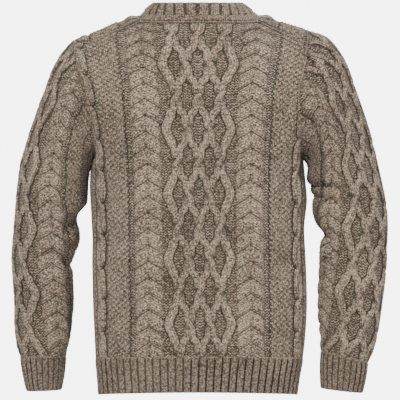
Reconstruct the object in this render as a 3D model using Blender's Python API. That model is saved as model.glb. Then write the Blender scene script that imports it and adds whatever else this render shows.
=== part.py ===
"""Heavy cable knit pullover, filled out as worn with nobody in it.

Metres, +Z up. The back of the sweater faces -Y and the wearer's right is +X.
The origin is at the middle of the back neck seam's height, between the
shoulders, where the wearer's shoulders carry the garment.
"""

import bmesh
import bpy
import numpy as np

for thing in list(bpy.data.objects):
    bpy.data.objects.remove(thing, do_unlink=True)

# Driving dimensions, in metres.
REPEAT = 0.117  # height of one repeat of the middle lattice
ROWS_IN_REPEAT = 8
ROW = REPEAT / ROWS_IN_REPEAT
KNIT_REPEAT = 0.1149  # the same repeat as knitted, with the grid's small stretch taken out
KNIT_START = 0.0016  # the lattice starts this far over the hem seam
WALL = 0.0022  # plain cloth between the inside and the purl ground
SEAM = 0.00025  # each piece stops this far short of a seam line
ROUND_SEAM = 0.0007  # the same for the sleeves and the neckband at their curved seams
SIDE_ALLOW = 0.0020  # cables stand this far past the ground at the sides
HEM_SEAM = -0.595  # height of the seam over the hem at the middle
SIDE_DROP = 0.007  # the same seam is this much lower at the sides
LOW_ROWS = 31  # rows of cloth up to the shoulder blades
TOP_ROWS = 11  # rows from there to the shoulder seam
UNDERARM_ROW = 24
SLEEVE_ROWS = 34
NECK_COLUMN = 9  # the column that ends where neckband and shoulder meet
EVEN_COLUMN = 12  # columns up to this one follow the knitted wales
SHOULDER_R = 0.045  # how round the shoulder is from front to back
LATTICE = 0.0368  # pitch of the lattice pairs
PAIR_HALF = 0.0046  # strands of a pair lie this far from the pair's middle
ROPE_MID = 0.0905
ROPE_PERIOD = KNIT_REPEAT / 4.0
SIDE_CABLE = 0.1915
RIB_HEIGHT = 0.0020
HEM_RIBS = 34  # ribs in each half of the hem
CUFF_RIBS = 24
NECK_RIBS = 34


# Distance of each column of cloth from the middle wale.
COLUMNS = np.array([0, 10, 20, 29, 39, 49, 58, 67, 79, 91, 103, 115, 131, 151, 172, 191.5, 208, 231, 255]) * 0.001
middle = len(COLUMNS) - 1

# Torso: height, left edge, right edge, depth of the back, depth of the front.
TORSO = np.array([
    (-0.672, -0.1808, 0.1756, 0.100, 0.103),
    (-0.650, -0.1822, 0.1785, 0.103, 0.107),
    (-0.626, -0.1840, 0.1820, 0.106, 0.110),
    (-0.602, -0.1863, 0.1866, 0.109, 0.113),
    (-0.547, -0.1894, 0.1931, 0.113, 0.117),
    (-0.500, -0.1917, 0.1953, 0.114, 0.119),
    (-0.461, -0.1926, 0.1945, 0.114, 0.120),
    (-0.422, -0.1933, 0.1930, 0.113, 0.120),
    (-0.391, -0.1926, 0.1912, 0.113, 0.121),
    (-0.362, -0.1940, 0.1905, 0.114, 0.122),
    (-0.340, -0.1950, 0.1930, 0.116, 0.123),
    (-0.317, -0.1964, 0.1953, 0.118, 0.124),
    (-0.293, -0.1975, 0.1935, 0.119, 0.125),
    (-0.268, -0.1965, 0.1912, 0.120, 0.125),
    (-0.243, -0.1935, 0.1890, 0.120, 0.124),
    (-0.200, -0.1935, 0.1890, 0.121, 0.122),
    (-0.141, -0.1935, 0.1890, 0.119, 0.117),
])

# Armhole above the underarm: height, left x, right x, depth behind and before.
ARMHOLE = np.array([
    (-0.243, 0.1915, 0.1870, 0.000),
    (-0.229, 0.1880, 0.1848, 0.036),
    (-0.214, 0.1868, 0.1835, 0.050),
    (-0.200, 0.1872, 0.1822, 0.058),
    (-0.185, 0.1890, 0.1810, 0.064),
    (-0.170, 0.1920, 0.1795, 0.067),
    (-0.156, 0.1955, 0.1785, 0.069),
    (-0.141, 0.1995, 0.1775, 0.070),
])

# Top line of the shoulders: distance from the middle, left height, right height.
RIDGE = np.array([
    (0.100, 0.0165, 0.0165),
    (0.110, 0.0145, 0.0155),
    (0.124, 0.0095, 0.0110),
    (0.142, 0.0032, 0.0032),
    (0.160, -0.0045, -0.0020),
    (0.175, -0.0115, -0.0065),
    (0.190, -0.0172, -0.0100),
    (0.205, -0.0232, -0.0175),
    (0.230, -0.0325, -0.0285),
])

# Shoulder seam, which lies on the back: distance from the middle and height.
SEAM_LEFT = np.array([
    (0.104, 0.0030),
    (0.131, -0.0090),
    (0.144, -0.0120),
    (0.160, -0.0185),
    (0.176, -0.0265),
    (0.191, -0.0340),
    (0.207, -0.0350),
    (0.224, -0.0345),
])
SEAM_RIGHT = np.array([
    (0.104, 0.0030),
    (0.120, -0.0040),
    (0.138, -0.0126),
    (0.147, -0.0160),
    (0.166, -0.0263),
    (0.177, -0.0330),
    (0.187, -0.0410),
    (0.193, -0.0455),
])

# Front neckline from its lowest point to the seam behind the shoulder line.
NECKLINE = np.array([
    (0.000, 0.0970, -0.0780),
    (0.031, 0.0966, -0.0700),
    (0.060, 0.0905, -0.0560),
    (0.083, 0.0715, -0.0270),
    (0.098, 0.0400, 0.0010),
    (0.104, 0.0040, 0.0155),
])

# Sleeves: outer x and z, inner x and z, half depth, how far forward.
SLEEVE_LEFT = np.array([
    (0.227, -0.030, 0.192, -0.243, 0.070, 0.000),
    (0.257, -0.076, 0.2015, -0.262, 0.073, 0.000),
    (0.276, -0.124, 0.2040, -0.281, 0.073, 0.001),
    (0.289, -0.157, 0.2045, -0.299, 0.072, 0.002),
    (0.308, -0.214, 0.2050, -0.322, 0.069, 0.003),
    (0.320, -0.256, 0.2085, -0.343, 0.066, 0.004),
    (0.327, -0.317, 0.2125, -0.367, 0.062, 0.006),
    (0.331, -0.361, 0.2150, -0.394, 0.060, 0.008),
    (0.335, -0.410, 0.2245, -0.419, 0.057, 0.010),
    (0.334, -0.452, 0.2265, -0.454, 0.055, 0.012),
    (0.331, -0.502, 0.2255, -0.502, 0.052, 0.015),
    (0.330, -0.551, 0.2300, -0.551, 0.048, 0.018),
    (0.3236, -0.599, 0.2394, -0.599, 0.042, 0.020),
])
SLEEVE_RIGHT = np.array([
    (0.1955, -0.011, 0.188, -0.243, 0.070, 0.000),
    (0.229, -0.027, 0.1990, -0.258, 0.072, 0.000),
    (0.259, -0.065, 0.2000, -0.273, 0.073, 0.000),
    (0.276, -0.110, 0.2005, -0.288, 0.073, 0.001),
    (0.296, -0.164, 0.2030, -0.305, 0.072, 0.002),
    (0.308, -0.205, 0.2035, -0.322, 0.069, 0.003),
    (0.321, -0.256, 0.2045, -0.340, 0.066, 0.004),
    (0.333, -0.313, 0.2095, -0.358, 0.063, 0.006),
    (0.338, -0.356, 0.2175, -0.377, 0.060, 0.008),
    (0.337, -0.406, 0.2165, -0.409, 0.057, 0.010),
    (0.335, -0.448, 0.2160, -0.446, 0.055, 0.012),
    (0.329, -0.502, 0.2145, -0.497, 0.053, 0.015),
    (0.319, -0.565, 0.2195, -0.551, 0.049, 0.018),
    (0.3056, -0.611, 0.2196, -0.588, 0.043, 0.020),
])
CUFF_END_LEFT = (0.3120, -0.6615, 0.2477, -0.6590, 0.034, 0.023)
CUFF_END_RIGHT = (0.2960, -0.6650, 0.2193, -0.6560, 0.036, 0.023)

# Creases: ends x, z and x, z, width, depth, on the back half and on the front half.
CREASES_LEFT = [
    ((-0.212, -0.345), (-0.236, -0.371), 0.014, 0.0060),
    ((-0.275, -0.407), (-0.229, -0.432), 0.010, 0.0035),
    ((-0.222, -0.300), (-0.262, -0.318), 0.013, 0.0030),
]
CREASES_RIGHT = [
    ((0.202, -0.291), (0.248, -0.300), 0.011, 0.0040),
    ((0.204, -0.309), (0.246, -0.326), 0.011, 0.0035),
    ((0.218, -0.374), (0.246, -0.394), 0.012, 0.0050),
]


def unit(v):
    """Vectors of length one."""
    v = np.asarray(v, float)
    return v / np.maximum(np.linalg.norm(v, axis=-1, keepdims=True), 1e-12)


def glide(xs, ys, x):
    """Smooth curve through a short table, read at x."""
    xs = np.asarray(xs, float)
    ys = np.asarray(ys, float)
    x = np.clip(np.asarray(x, float), xs[0], xs[-1])
    slope = np.gradient(ys, xs, axis=0)
    k = np.clip(np.searchsorted(xs, x, side="right") - 1, 0, len(xs) - 2)
    h = xs[k + 1] - xs[k]
    t = (x - xs[k]) / h
    if ys.ndim > 1:
        t = np.expand_dims(t, -1)
        h = np.expand_dims(h, -1)
    a = 2 * t**3 - 3 * t**2 + 1
    b = t**3 - 2 * t**2 + t
    c = -2 * t**3 + 3 * t**2
    d = t**3 - t**2
    return a * ys[k] + b * h * slope[k] + c * ys[k + 1] + d * h * slope[k + 1]


def lengths(points):
    """Distance along a line of points, at each point."""
    steps = np.linalg.norm(np.diff(points, axis=0), axis=1)
    return np.concatenate(([0.0], np.cumsum(steps)))


def along(points, values, where):
    """Values carried by a line of points, read at distances along it."""
    run = lengths(points)
    where = np.clip(where, 0.0, run[-1])
    return np.stack([np.interp(where, run, values[:, c]) for c in range(values.shape[1])], axis=1)


def cubic(p0, p1, p2, p3, count=61):
    """Points of a cubic curve with two end points and two handles."""
    t = np.linspace(0.0, 1.0, count)[:, None]
    s = 1.0 - t
    return s**3 * np.array(p0) + 3 * s * s * t * np.array(p1) + 3 * s * t * t * np.array(p2) + t**3 * np.array(p3)


def hump(distance, half):
    """Rounded section of a strand, one in its middle and nought at its edge."""
    return np.clip(1.0 - (distance / half) ** 2, 0.0, 1.0) ** 0.6


def lattice(u, v):
    """Six strands of two stitches that pair up, cross and part over a purl ground."""
    h = LATTICE / 2.0
    p = (v - KNIT_START) / (KNIT_REPEAT / 2.0)
    best = np.zeros_like(u)
    for k in range(6):
        q = np.mod(p - 1.0 + 2.0 * k, 12.0)
        goes_right = q < 6.0
        w = np.where(goes_right, q, 12.0 - q)
        n = np.clip(np.round(w), 1, 5)
        x = np.clip(w - n, -0.5, 0.5)
        part = np.clip((np.abs(x) - 0.27) / 0.23, 0.0, 1.0)
        part = part * part * (3.0 - 2.0 * part)
        close = PAIR_HALF * np.tanh(np.abs(x) / 0.07)
        mid = h * (n - 3.0) + np.sign(x) * (close * (1.0 - part) + 0.5 * h * part)
        mid = np.where(w < 0.5, h * (-3.0 + 0.5 * np.sin(np.pi * np.clip(w, 0, 0.5)) ** 2), mid)
        mid = np.where(w > 5.5, h * (3.0 - 0.5 * np.sin(np.pi * np.clip(6.0 - w, 0, 0.5)) ** 2), mid)
        odd = np.mod(np.round(q), 2) == 1
        over = np.where(odd, goes_right, ~goes_right)
        near = np.exp(-((x / 0.10) ** 2))
        height = 0.0042 * (1.0 - np.where(over, -0.12, 0.35) * near)
        best = np.maximum(best, height * hump(u - mid, 0.0056 + 0.0027 * part))
    return best


def ropes(u, v):
    """Two mirrored twisted ropes side by side, at each side of the lattice."""
    d = np.abs(np.abs(u) - ROPE_MID)
    body = hump(d - 0.012, 0.0125)
    turn = np.cos(2 * np.pi * ((v + 0.0012) / ROPE_PERIOD + d / 0.030 + 0.5))
    return 0.0046 * body * (0.76 + 0.24 * turn)


def side_cable(u, v):
    """Two strands that cross every half repeat, near the side seams."""
    x = np.abs(u) - SIDE_CABLE
    swing = 0.0065 * np.tanh(2.2 * np.sin(np.pi * (v - 0.0415) / (KNIT_REPEAT / 2.0)))
    return 0.0040 * np.maximum(hump(x - swing, 0.00715), hump(x + swing, 0.00715))


def knit(u, v, has_side_cable=True):
    """Height of the knitting over the purl ground."""
    a = np.abs(u)
    height = np.maximum(lattice(u, v), ropes(u, v))
    moss = np.where((a > 0.128) & (a < 0.175), 0.0014, 0.0)
    moss = np.where(a > 0.212, 0.0012, moss)
    height = np.maximum(height, moss)
    if has_side_cable:
        height = np.maximum(height, side_cable(u, v))
    return 0.0002 + height


def torso_at(z, column):
    """A measure of the torso at a height."""
    return glide(TORSO[:, 0], TORSO[:, column], z)


def middle_x(z):
    """The middle wale leans a little from the neck to the hem."""
    return np.interp(z, [-0.60, 0.0], [0.0027, -0.0027])


def quarter(front_point, side_point):
    """Flat curve from the middle of a body section to its side."""
    middle = np.array(front_point)
    edge = np.array(side_point)
    first = middle + np.array([0.58 * (edge[0] - middle[0]), 0.0])
    second = edge + np.array([0.0, 0.62 * (middle[1] - edge[1])])
    return cubic(middle, first, second, edge, 121)


def half_row(z, side, face):
    """Line round one quarter of the torso, from the middle wale to its edge."""
    xc = float(middle_x(z))
    depth = float(torso_at(z, 3 if face < 0 else 4)) - SIDE_ALLOW
    full = abs(float(torso_at(z, 1 if side < 0 else 2))) - SIDE_ALLOW
    under = HEM_SEAM + UNDERARM_ROW * ROW
    centre = np.array([xc, face * depth, z])
    if z <= under + 1e-6:
        side_point = np.array([side * full, 0.0, z])
        share = 0.0
    else:
        x = side * float(glide(ARMHOLE[:, 0], ARMHOLE[:, 1 if side < 0 else 2], z))
        share = float(np.interp(z, ARMHOLE[:, 0], ARMHOLE[:, 3])) / depth
        plain = quarter(np.array([0.0, 1.0]), np.array([1.0, 0.0]))
        reach = float(np.interp(-share, -plain[:, 1], plain[:, 0]))
        side_point = np.array([xc + (x - xc) / reach, 0.0, z])
    flat = quarter(np.array([xc, face * depth]), side_point[:2])
    line = np.column_stack([flat, np.full(len(flat), z)])
    if share > 0.0:
        limit = np.interp(-share * depth, -np.abs(line[:, 1]), np.arange(len(line)))
        cut = int(limit)
        last = line[cut] + (limit - cut) * (line[min(cut + 1, len(line) - 1)] - line[cut])
        line = np.vstack([line[: cut + 1], last])
    return line


def spread(total, stretch):
    """Where the columns lie along a line of the given length."""
    at = stretch * COLUMNS
    knee = at[EVEN_COLUMN]
    rest = (COLUMNS - COLUMNS[EVEN_COLUMN]) / (COLUMNS[-1] - COLUMNS[EVEN_COLUMN])
    at = np.where(np.arange(len(COLUMNS)) > EVEN_COLUMN, knee + (total - knee) * rest, at)
    return at


def shoulder_seam(side):
    """Points of the seam that joins front and back, and their drop below the ridge."""
    table = SEAM_LEFT if side < 0 else SEAM_RIGHT
    x = np.linspace(table[0, 0], table[-1, 0], 41)
    z = glide(table[:, 0], table[:, 1], x)
    top = glide(RIDGE[:, 0], RIDGE[:, 1 if side < 0 else 2], x)
    drop = np.clip(top - z, 0.0, SHOULDER_R * 0.95)
    y = -np.sqrt(2 * SHOULDER_R * drop - drop**2)
    return np.stack([side * x, y, z], axis=1), drop


def neck_edge(side, face):
    """Neck seam from the middle to the shoulder seam."""
    corner = shoulder_seam(side)[0][0]
    xc = float(middle_x(0.0))
    if face < 0:
        return cubic((xc, -0.076, 0.0), (side * 0.046, -0.076, -0.0005), (side * 0.086, -0.063, -0.001), corner)
    pts = NECKLINE * np.array([side, 1.0, 1.0])
    pts[0, 0] = xc
    pts = np.vstack([pts, corner])
    run = lengths(pts)
    return glide(run, pts, np.linspace(0.0, run[-1], 81))


def hermite(a, ta, b, tb, count=33):
    """Curve that leaves a along ta and comes into b along tb."""
    size = np.linalg.norm(b - a)
    return cubic(a, a + ta * size / 3.0, b - tb * size / 3.0, b, count)


def over_shoulder(start, lean, side, end, bulge, is_corner):
    """Column of the front up to the neckline, over the shoulder line if it gets there."""
    top_z = float(glide(RIDGE[:, 0], RIDGE[:, 1 if side < 0 else 2], abs(end[0]) + bulge))
    top = np.array([end[0] + side * bulge, 0.0, top_z])
    rise = hermite(start, lean, top, np.array([0.0, -1.0, 0.0]), 65)
    if end[1] >= 0.0:
        limit = np.interp(-end[1], -rise[:, 1], np.arange(len(rise)))
        cut = min(int(limit), len(rise) - 2)
        last = rise[cut] + (limit - cut) * (rise[cut + 1] - rise[cut])
        return np.vstack([rise[: cut + 1], last])
    turn = np.linspace(0.0, np.arcsin(-end[1] / SHOULDER_R), 9)[1:, None]
    arc = np.repeat(top[None, :], len(turn), axis=0)
    arc[:, 0:1] -= side * bulge * (turn / turn[-1]) ** 2
    arc[:, 1:2] = -SHOULDER_R * np.sin(turn)
    arc[:, 2:3] = top_z - SHOULDER_R * (1.0 - np.cos(turn))
    if is_corner:
        arc[-1] = end
    return np.vstack([rise, arc])


def half_panel(side, face):
    """Ground points of one half of a body panel and their place in the knitting."""
    count = len(COLUMNS)
    grid = []
    place = []
    for row in range(LOW_ROWS + 1):
        z = HEM_SEAM + row * ROW
        line = half_row(z, side, face)
        total = lengths(line)[-1]
        stretch = 1.0 + 0.05 * np.clip((row - 20) / 11.0, 0.0, 1.0)
        at = spread(total, stretch)
        points = along(line, line, at)
        sag = SIDE_DROP * (at / total) ** 2 * np.clip(1.0 - row / 10.0, 0.0, 1.0)
        points[:, 2] -= sag
        grid.append(points)
        place.append(np.stack([at / stretch, np.full(count, row * ROW) - sag], axis=1))
    low = grid[-1]
    lean = unit(grid[-1] - grid[-2])
    seam, drop = shoulder_seam(side)
    neck = neck_edge(side, face)
    neck_length = lengths(neck)[-1]
    if face < 0:
        stretch = neck_length / COLUMNS[NECK_COLUMN]
        neck_at = stretch * COLUMNS[: NECK_COLUMN + 1]
    else:
        stretch = 1.15
        share = (COLUMNS[: NECK_COLUMN + 1] / COLUMNS[NECK_COLUMN]) ** 0.9
        neck_at = neck_length * share
    neck_points = along(neck, neck, neck_at)
    seam_length = lengths(seam)[-1]
    reach = spread(seam_length + stretch * COLUMNS[NECK_COLUMN], stretch) - stretch * COLUMNS[NECK_COLUMN]
    seam_points = along(seam, np.column_stack([seam, drop]), reach[NECK_COLUMN + 1:])
    top_u = np.concatenate([COLUMNS[: NECK_COLUMN + 1], COLUMNS[NECK_COLUMN] + reach[NECK_COLUMN + 1:] / stretch])
    paths = []
    for i in range(count):
        if i <= NECK_COLUMN:
            end = neck_points[i]
            f = i / NECK_COLUMN
            if face < 0:
                into = unit(np.array([0.0, 0.50 + 0.20 * f, 0.86 - 0.16 * f]))
                path = hermite(low[i], lean[i], end, into)
            else:
                bulge = 0.012 if i == NECK_COLUMN else 0.0
                path = over_shoulder(low[i], lean[i], side, end, bulge, i == NECK_COLUMN)
        else:
            end = seam_points[i - NECK_COLUMN - 1, :3]
            fall = seam_points[i - NECK_COLUMN - 1, 3]
            if face < 0:
                into = unit(np.array([0.0, SHOULDER_R - fall, -end[1]]))
                path = hermite(low[i], lean[i], end, into)
            else:
                out = 0.002 + 0.007 * np.exp(-(i - NECK_COLUMN - 1) / 1.5)
                top = np.array([end[0] + side * out, 0.0, end[2] + fall])
                rise = hermite(low[i], lean[i], top, np.array([0.0, -1.0, 0.0]))
                turn = np.linspace(0.0, np.arccos(1.0 - fall / SHOULDER_R), 12)[1:, None]
                share = turn / turn[-1]
                arc = top * (1 - share) + end * share
                arc[:, 1:2] = -SHOULDER_R * np.sin(turn)
                arc[:, 2:3] = top[2] - SHOULDER_R * (1.0 - np.cos(turn))
                arc[-1] = end
                path = np.vstack([rise, arc])
        paths.append(path)
    for row in range(1, TOP_ROWS + 1):
        t = row / TOP_ROWS
        points = []
        spot = []
        for i in range(count):
            total = lengths(paths[i])[-1]
            points.append(along(paths[i], paths[i], np.array([t * total]))[0])
            u = place[LOW_ROWS][i][0] * (1 - t) + top_u[i] * t
            if face > 0 and i <= NECK_COLUMN:
                u = abs(points[-1][0]) / 1.10
            spot.append((u, LOW_ROWS * ROW + t * total))
        grid.append(np.array(points))
        place.append(np.array(spot))
    return np.array(grid), np.array(place)


def panel(face):
    """Ground points and knitting places of a whole body panel, left to right."""
    left, left_place = half_panel(-1, face)
    right, right_place = half_panel(1, face)
    grid = np.concatenate([left[:, :0:-1], right], axis=1)
    left_place = left_place * np.array([-1.0, 1.0])
    place = np.concatenate([left_place[:, :0:-1], right_place], axis=1)
    return grid, place


def normals(grid, closed, outward):
    """Outward directions of a grid of points."""
    if closed:
        across = np.roll(grid, -1, axis=1) - np.roll(grid, 1, axis=1)
    else:
        across = np.gradient(grid, axis=1)
    up = np.gradient(grid, axis=0)
    n = unit(np.cross(across, up))
    if np.sum(n * outward) < 0:
        n = -n
    return n


def crease_depth(points, creases, middle_y):
    """How far the creases of a sleeve pull the cloth in."""
    depth = np.zeros(points.shape[:-1])
    for (x0, z0), (x1, z1), width, most in creases:
        a = np.array([x0, z0])
        b = np.array([x1, z1])
        p = points[..., [0, 2]]
        share = np.clip(np.sum((p - a) * (b - a), axis=-1) / np.sum((b - a) ** 2), 0.0, 1.0)
        off = np.linalg.norm(p - a - share[..., None] * (b - a), axis=-1)
        pull = most * np.exp(-((off / width) ** 2)) * (0.45 + 0.55 * np.sin(np.pi * (0.15 + 0.7 * share)))
        behind = np.where(points[..., 1] < middle_y, 1.0, 0.7)
        depth += pull * behind
    return depth


def ring(station, fractions, half):
    """Points of a sleeve's cross line. Fractions run 0 outside to 1 inside."""
    ox, oz, ix, iz, depth, forward = station
    centre = np.array([(ox + ix) / 2, forward, (oz + iz) / 2])
    main = np.array([(ox - ix) / 2, 0.0, (oz - iz) / 2])
    size = np.linalg.norm(main)
    main = main * (size - 0.0023) / size
    angle = np.linspace(0.0, np.pi, 91)
    c = np.sign(np.cos(angle)) * np.abs(np.cos(angle)) ** 0.94
    s = np.sin(angle) ** 0.94
    line = centre + c[:, None] * main + half * s[:, None] * np.array([0.0, depth - 0.002, 0.0])
    total = lengths(line)[-1]
    return along(line, line, fractions(total)), total


def sleeve_columns(total):
    """Where the twelve columns of half a sleeve lie round it."""
    near = np.arange(7) * 0.010
    far = near[-1] + (total - near[-1]) * np.arange(1, 7) / 6.0
    return np.concatenate([near, far])


def sleeve_ground(side, hole, table, creases):
    """Ground points of a sleeve from the armhole line down to the cuff seam."""
    table = table.copy()
    table[:, 0] *= side
    table[:, 2] *= side
    top = int(np.argmax(hole[:, 2]))
    low = int(np.argmin(hole[:, 2]))
    turned = np.roll(hole, -top, axis=0)
    low = (low - top) % len(hole)
    first = turned[: low + 1]
    second = np.vstack([turned[low:], turned[:1]])[::-1]
    halves = [first, second]
    if np.mean(first[:, 1]) > np.mean(second[:, 1]):
        halves = [second, first]
    table[0, :4] = (turned[0, 0], turned[0, 2], turned[low, 0], turned[low, 2])
    outer = table[:, [0, 1]]
    run = lengths(outer)
    total_run = run[-1]
    fine = np.linspace(0.0, len(table) - 1.0, 400)
    path = glide(np.arange(len(table)), outer, fine)
    path_run = lengths(path)
    rows = []
    places = []
    for j in range(SLEEVE_ROWS + 1):
        want = path_run[-1] * j / SLEEVE_ROWS
        q = np.interp(want, path_run, fine)
        station = glide(np.arange(len(table)), table, q)
        fade = np.clip(1.0 - j / 9.0, 0.0, 1.0)
        fade = fade * fade * (3.0 - 2.0 * fade)
        sides = []
        spots = []
        for half, loop in ((-1, halves[0]), (1, halves[1])):
            points, total = ring(station, sleeve_columns, half)
            here = ring(table[0], sleeve_columns, half)[0]
            loop_total = lengths(loop)[-1]
            seam = along(loop, loop, sleeve_columns(loop_total))
            if j == 0:
                points = seam
                total = loop_total
            else:
                points = points + (seam - here) * fade
            sides.append(points)
            spots.append(sleeve_columns(total) * half)
        rows.append(np.vstack([sides[0], sides[1][-2:0:-1]]))
        places.append(np.concatenate([spots[0], spots[1][-2:0:-1]]))
    grid = np.array(rows)
    u = np.array(places)
    down = np.zeros(grid.shape[:2])
    down[:-1] = np.cumsum(np.linalg.norm(np.diff(grid, axis=0), axis=2)[::-1], axis=0)[::-1]
    axis = np.mean(grid, axis=1, keepdims=True)
    n = normals(grid, True, grid - axis)
    pull = crease_depth(grid, creases, axis[..., 1])
    pull *= np.clip(np.arange(SLEEVE_ROWS + 1) / 3.0, 0.0, 1.0)[:, None]
    grid = grid - n * pull[..., None]
    return grid, np.stack([u, down], axis=2)


def colour_of(name, colour, roughness=0.95):
    """A knitted wool material."""
    mat = bpy.data.materials.new(name)
    mat.use_nodes = True
    shader = mat.node_tree.nodes["Principled BSDF"]
    shader.inputs["Base Color"].default_value = (*colour, 1.0)
    shader.inputs["Roughness"].default_value = roughness
    shader.inputs["Metallic"].default_value = 0.0
    mat.diffuse_color = (*colour, 1.0)
    return mat


def wall(name, outer, inner, inner_rows, inner_cols, closed, colour):
    """Closed cloth wall between a fine outer grid and a plainer inner grid."""
    bm = bmesh.new()
    out = [[bm.verts.new(p) for p in line] for line in outer]
    inn = [[bm.verts.new(p) for p in line] for line in inner]

    def skin(rows, wrap, row_marks, col_marks):
        for j in range(len(rows) - 1):
            n = len(rows[j])
            for i in range(n if wrap else n - 1):
                k = (i + 1) % n
                a, b, c, d = rows[j][i], rows[j][k], rows[j + 1][k], rows[j + 1][i]
                if (col_marks[i] + row_marks[j]) % 2:
                    bm.faces.new((a, b, c))
                    bm.faces.new((a, c, d))
                else:
                    bm.faces.new((a, b, d))
                    bm.faces.new((b, c, d))

    def rim(fine, coarse, marks):
        for k in range(len(marks) - 1):
            lo, hi = marks[k], marks[k + 1]
            mid = (lo + hi) // 2
            for j in range(lo, hi):
                corner = coarse[k] if j < mid else coarse[k + 1]
                bm.faces.new((fine[j], fine[j + 1], corner))
            bm.faces.new((fine[mid], coarse[k], coarse[k + 1]))

    skin(out, closed, range(len(out)), range(len(out[0])))
    skin(inn, closed, inner_rows, inner_cols)
    if closed:
        n = len(out[0])
        for edge in (0, -1):
            fine = out[edge] + [out[edge][0]]
            coarse = inn[edge] + [inn[edge][0]]
            rim(fine, coarse, list(inner_cols) + [n])
    else:
        rim(out[0], inn[0], inner_cols)
        rim(out[-1], inn[-1], inner_cols)
        rim([r[0] for r in out], [r[0] for r in inn], inner_rows)
        rim([r[-1] for r in out], [r[-1] for r in inn], inner_rows)
    bmesh.ops.recalc_face_normals(bm, faces=bm.faces)
    if bm.calc_volume(signed=True) < 0:
        bmesh.ops.reverse_faces(bm, faces=bm.faces)
    mesh = bpy.data.meshes.new(name)
    bm.to_mesh(mesh)
    bm.free()
    mesh.shade_smooth()
    mesh.set_sharp_from_angle(angle=np.radians(60))
    obj = bpy.data.objects.new(name, mesh)
    bpy.context.scene.collection.objects.link(obj)
    mesh.materials.append(colour_of(name, colour))
    return obj


def away_from(line, inner):
    """Directions from a seam line into a piece, square to the seam."""
    tangent = unit(np.gradient(line, axis=0))
    into = inner - line
    into = into - np.sum(into * tangent, axis=1, keepdims=True) * tangent
    return unit(into)


def pull_back(grid, closed, sides=True, bottom=True, top=True, first=SEAM):
    """Move the edge points in from the seam lines."""
    moved = grid.copy()
    if bottom:
        moved[0] += first * away_from(grid[0], grid[1])
    if top:
        moved[-1] += SEAM * away_from(grid[-1], grid[-2])
    if sides and not closed:
        moved[:, 0] += SEAM * away_from(grid[:, 0], grid[:, 1])
        moved[:, -1] += SEAM * away_from(grid[:, -1], grid[:, -2])
    return moved


def make_panel(name, grid, n, place, colour):
    """Build a body panel with its cables raised."""
    height = knit(place[..., 0], place[..., 1])
    soft = np.ones_like(height)
    soft[0] = 0.4
    soft[-1] = 0.4
    soft[:, 0] = 0.4
    soft[:, -1] = 0.4
    soft[-3:-1, middle - 11:middle - 6] = 0.5
    soft[-3:-1, middle + 7:middle + 12] = 0.5
    soft[UNDERARM_ROW:, 1] = 0.7
    soft[UNDERARM_ROW:, -2] = 0.7
    height = height * soft
    ground = pull_back(grid, False)
    rows = [0, 8, 16] + list(range(UNDERARM_ROW, 36)) + [36, 38, 40, len(grid) - 1]
    half = [0, 2, 4, 7, NECK_COLUMN, 11, 13, 15, 17, 18]
    if "front" in name:
        rows = [0, 8, 16] + list(range(UNDERARM_ROW, len(grid)))
        half = list(range(NECK_COLUMN + 1)) + [11, 13, 15, 17, 18]
    cols = [middle - i for i in half[:0:-1]] + [middle + i for i in half]
    inner = (ground - n * WALL)[rows][:, cols]
    return wall(name, ground + n * height[..., None], inner, rows, cols, False, colour)


def make_sleeve(name, grid, n, place, colour):
    """Build a sleeve tube with its cables raised."""
    height = knit(place[..., 0], place[..., 1] + 0.5 * KNIT_REPEAT, False)
    height[0] *= 0.3
    height[-1] *= 0.4
    height[1] *= 0.8
    ground = pull_back(grid, True, first=ROUND_SEAM)
    ground[0, 12] += 0.0007 * unit(grid[1, 12] - grid[0, 12])
    ground[0, [11, 13]] += 0.0004 * unit(grid[1, [11, 13]] - grid[0, [11, 13]])
    cols = list(range(grid.shape[1]))
    rows = list(range(0, 12, 2)) + list(range(12, 26)) + [28, 31, SLEEVE_ROWS]
    inner = (ground - n * WALL)[rows]
    return wall(name, ground + n * height[..., None], inner, rows, cols, True, colour)


def ribbed(name, lines, n, ribs, closed, colour, plain_rows=0):
    """Build a ribbed band from its ground lines."""
    count = lines.shape[1]
    wave = np.where(np.arange(count) % 2 == 1, 1.0, 0.0) * RIB_HEIGHT
    height = np.tile(wave, (lines.shape[0], 1)) + 0.0003
    if plain_rows:
        height[:plain_rows] = 0.0010
    ground = pull_back(lines, closed, True, True, False, 1.6 * ROUND_SEAM if plain_rows else SEAM)
    step = 1 if plain_rows else 4
    cols = list(range(0, count - (0 if closed else 1), step))
    if not closed:
        cols.append(count - 1)
    rows = [0, lines.shape[0] - 1] if lines.shape[0] < 4 else [0, 2, lines.shape[0] - 1]
    inner = (ground - n * WALL * 0.85)[rows][:, cols]
    return wall(name, ground + n * height[..., None], inner, rows, cols, closed, colour)


def share_points(loop, values, count, closed):
    """Points and carried values spaced evenly along a seam line."""
    if closed:
        loop = np.vstack([loop, loop[:1]])
        values = np.vstack([values, values[:1]])
    total = lengths(loop)[-1]
    at = np.linspace(0.0, total, count + 1)
    if closed:
        at = at[:-1]
    return along(loop, values, at)


def onto(points, loop):
    """Points moved onto the nearest place of a closed line."""
    a = loop
    b = np.roll(loop, -1, axis=0)
    moved = []
    for p in points:
        share = np.sum((p - a) * (b - a), axis=1) / np.sum((b - a) ** 2, axis=1)
        foot = a + np.clip(share, 0.0, 1.0)[:, None] * (b - a)
        moved.append(foot[np.argmin(np.linalg.norm(foot - p, axis=1))])
    return np.array(moved)


def carried(points, loop, values):
    """Values of a closed line read at the places nearest to the points."""
    a = loop
    b = np.roll(loop, -1, axis=0)
    following = np.roll(values, -1, axis=0)
    found = []
    for p in points:
        share = np.sum((p - a) * (b - a), axis=1) / np.maximum(np.sum((b - a) ** 2, axis=1), 1e-12)
        share = np.clip(share, 0.0, 1.0)[:, None]
        k = np.argmin(np.linalg.norm(a + share * (b - a) - p, axis=1))
        found.append(values[k] * (1 - share[k]) + following[k] * share[k])
    return np.array(found)


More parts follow.
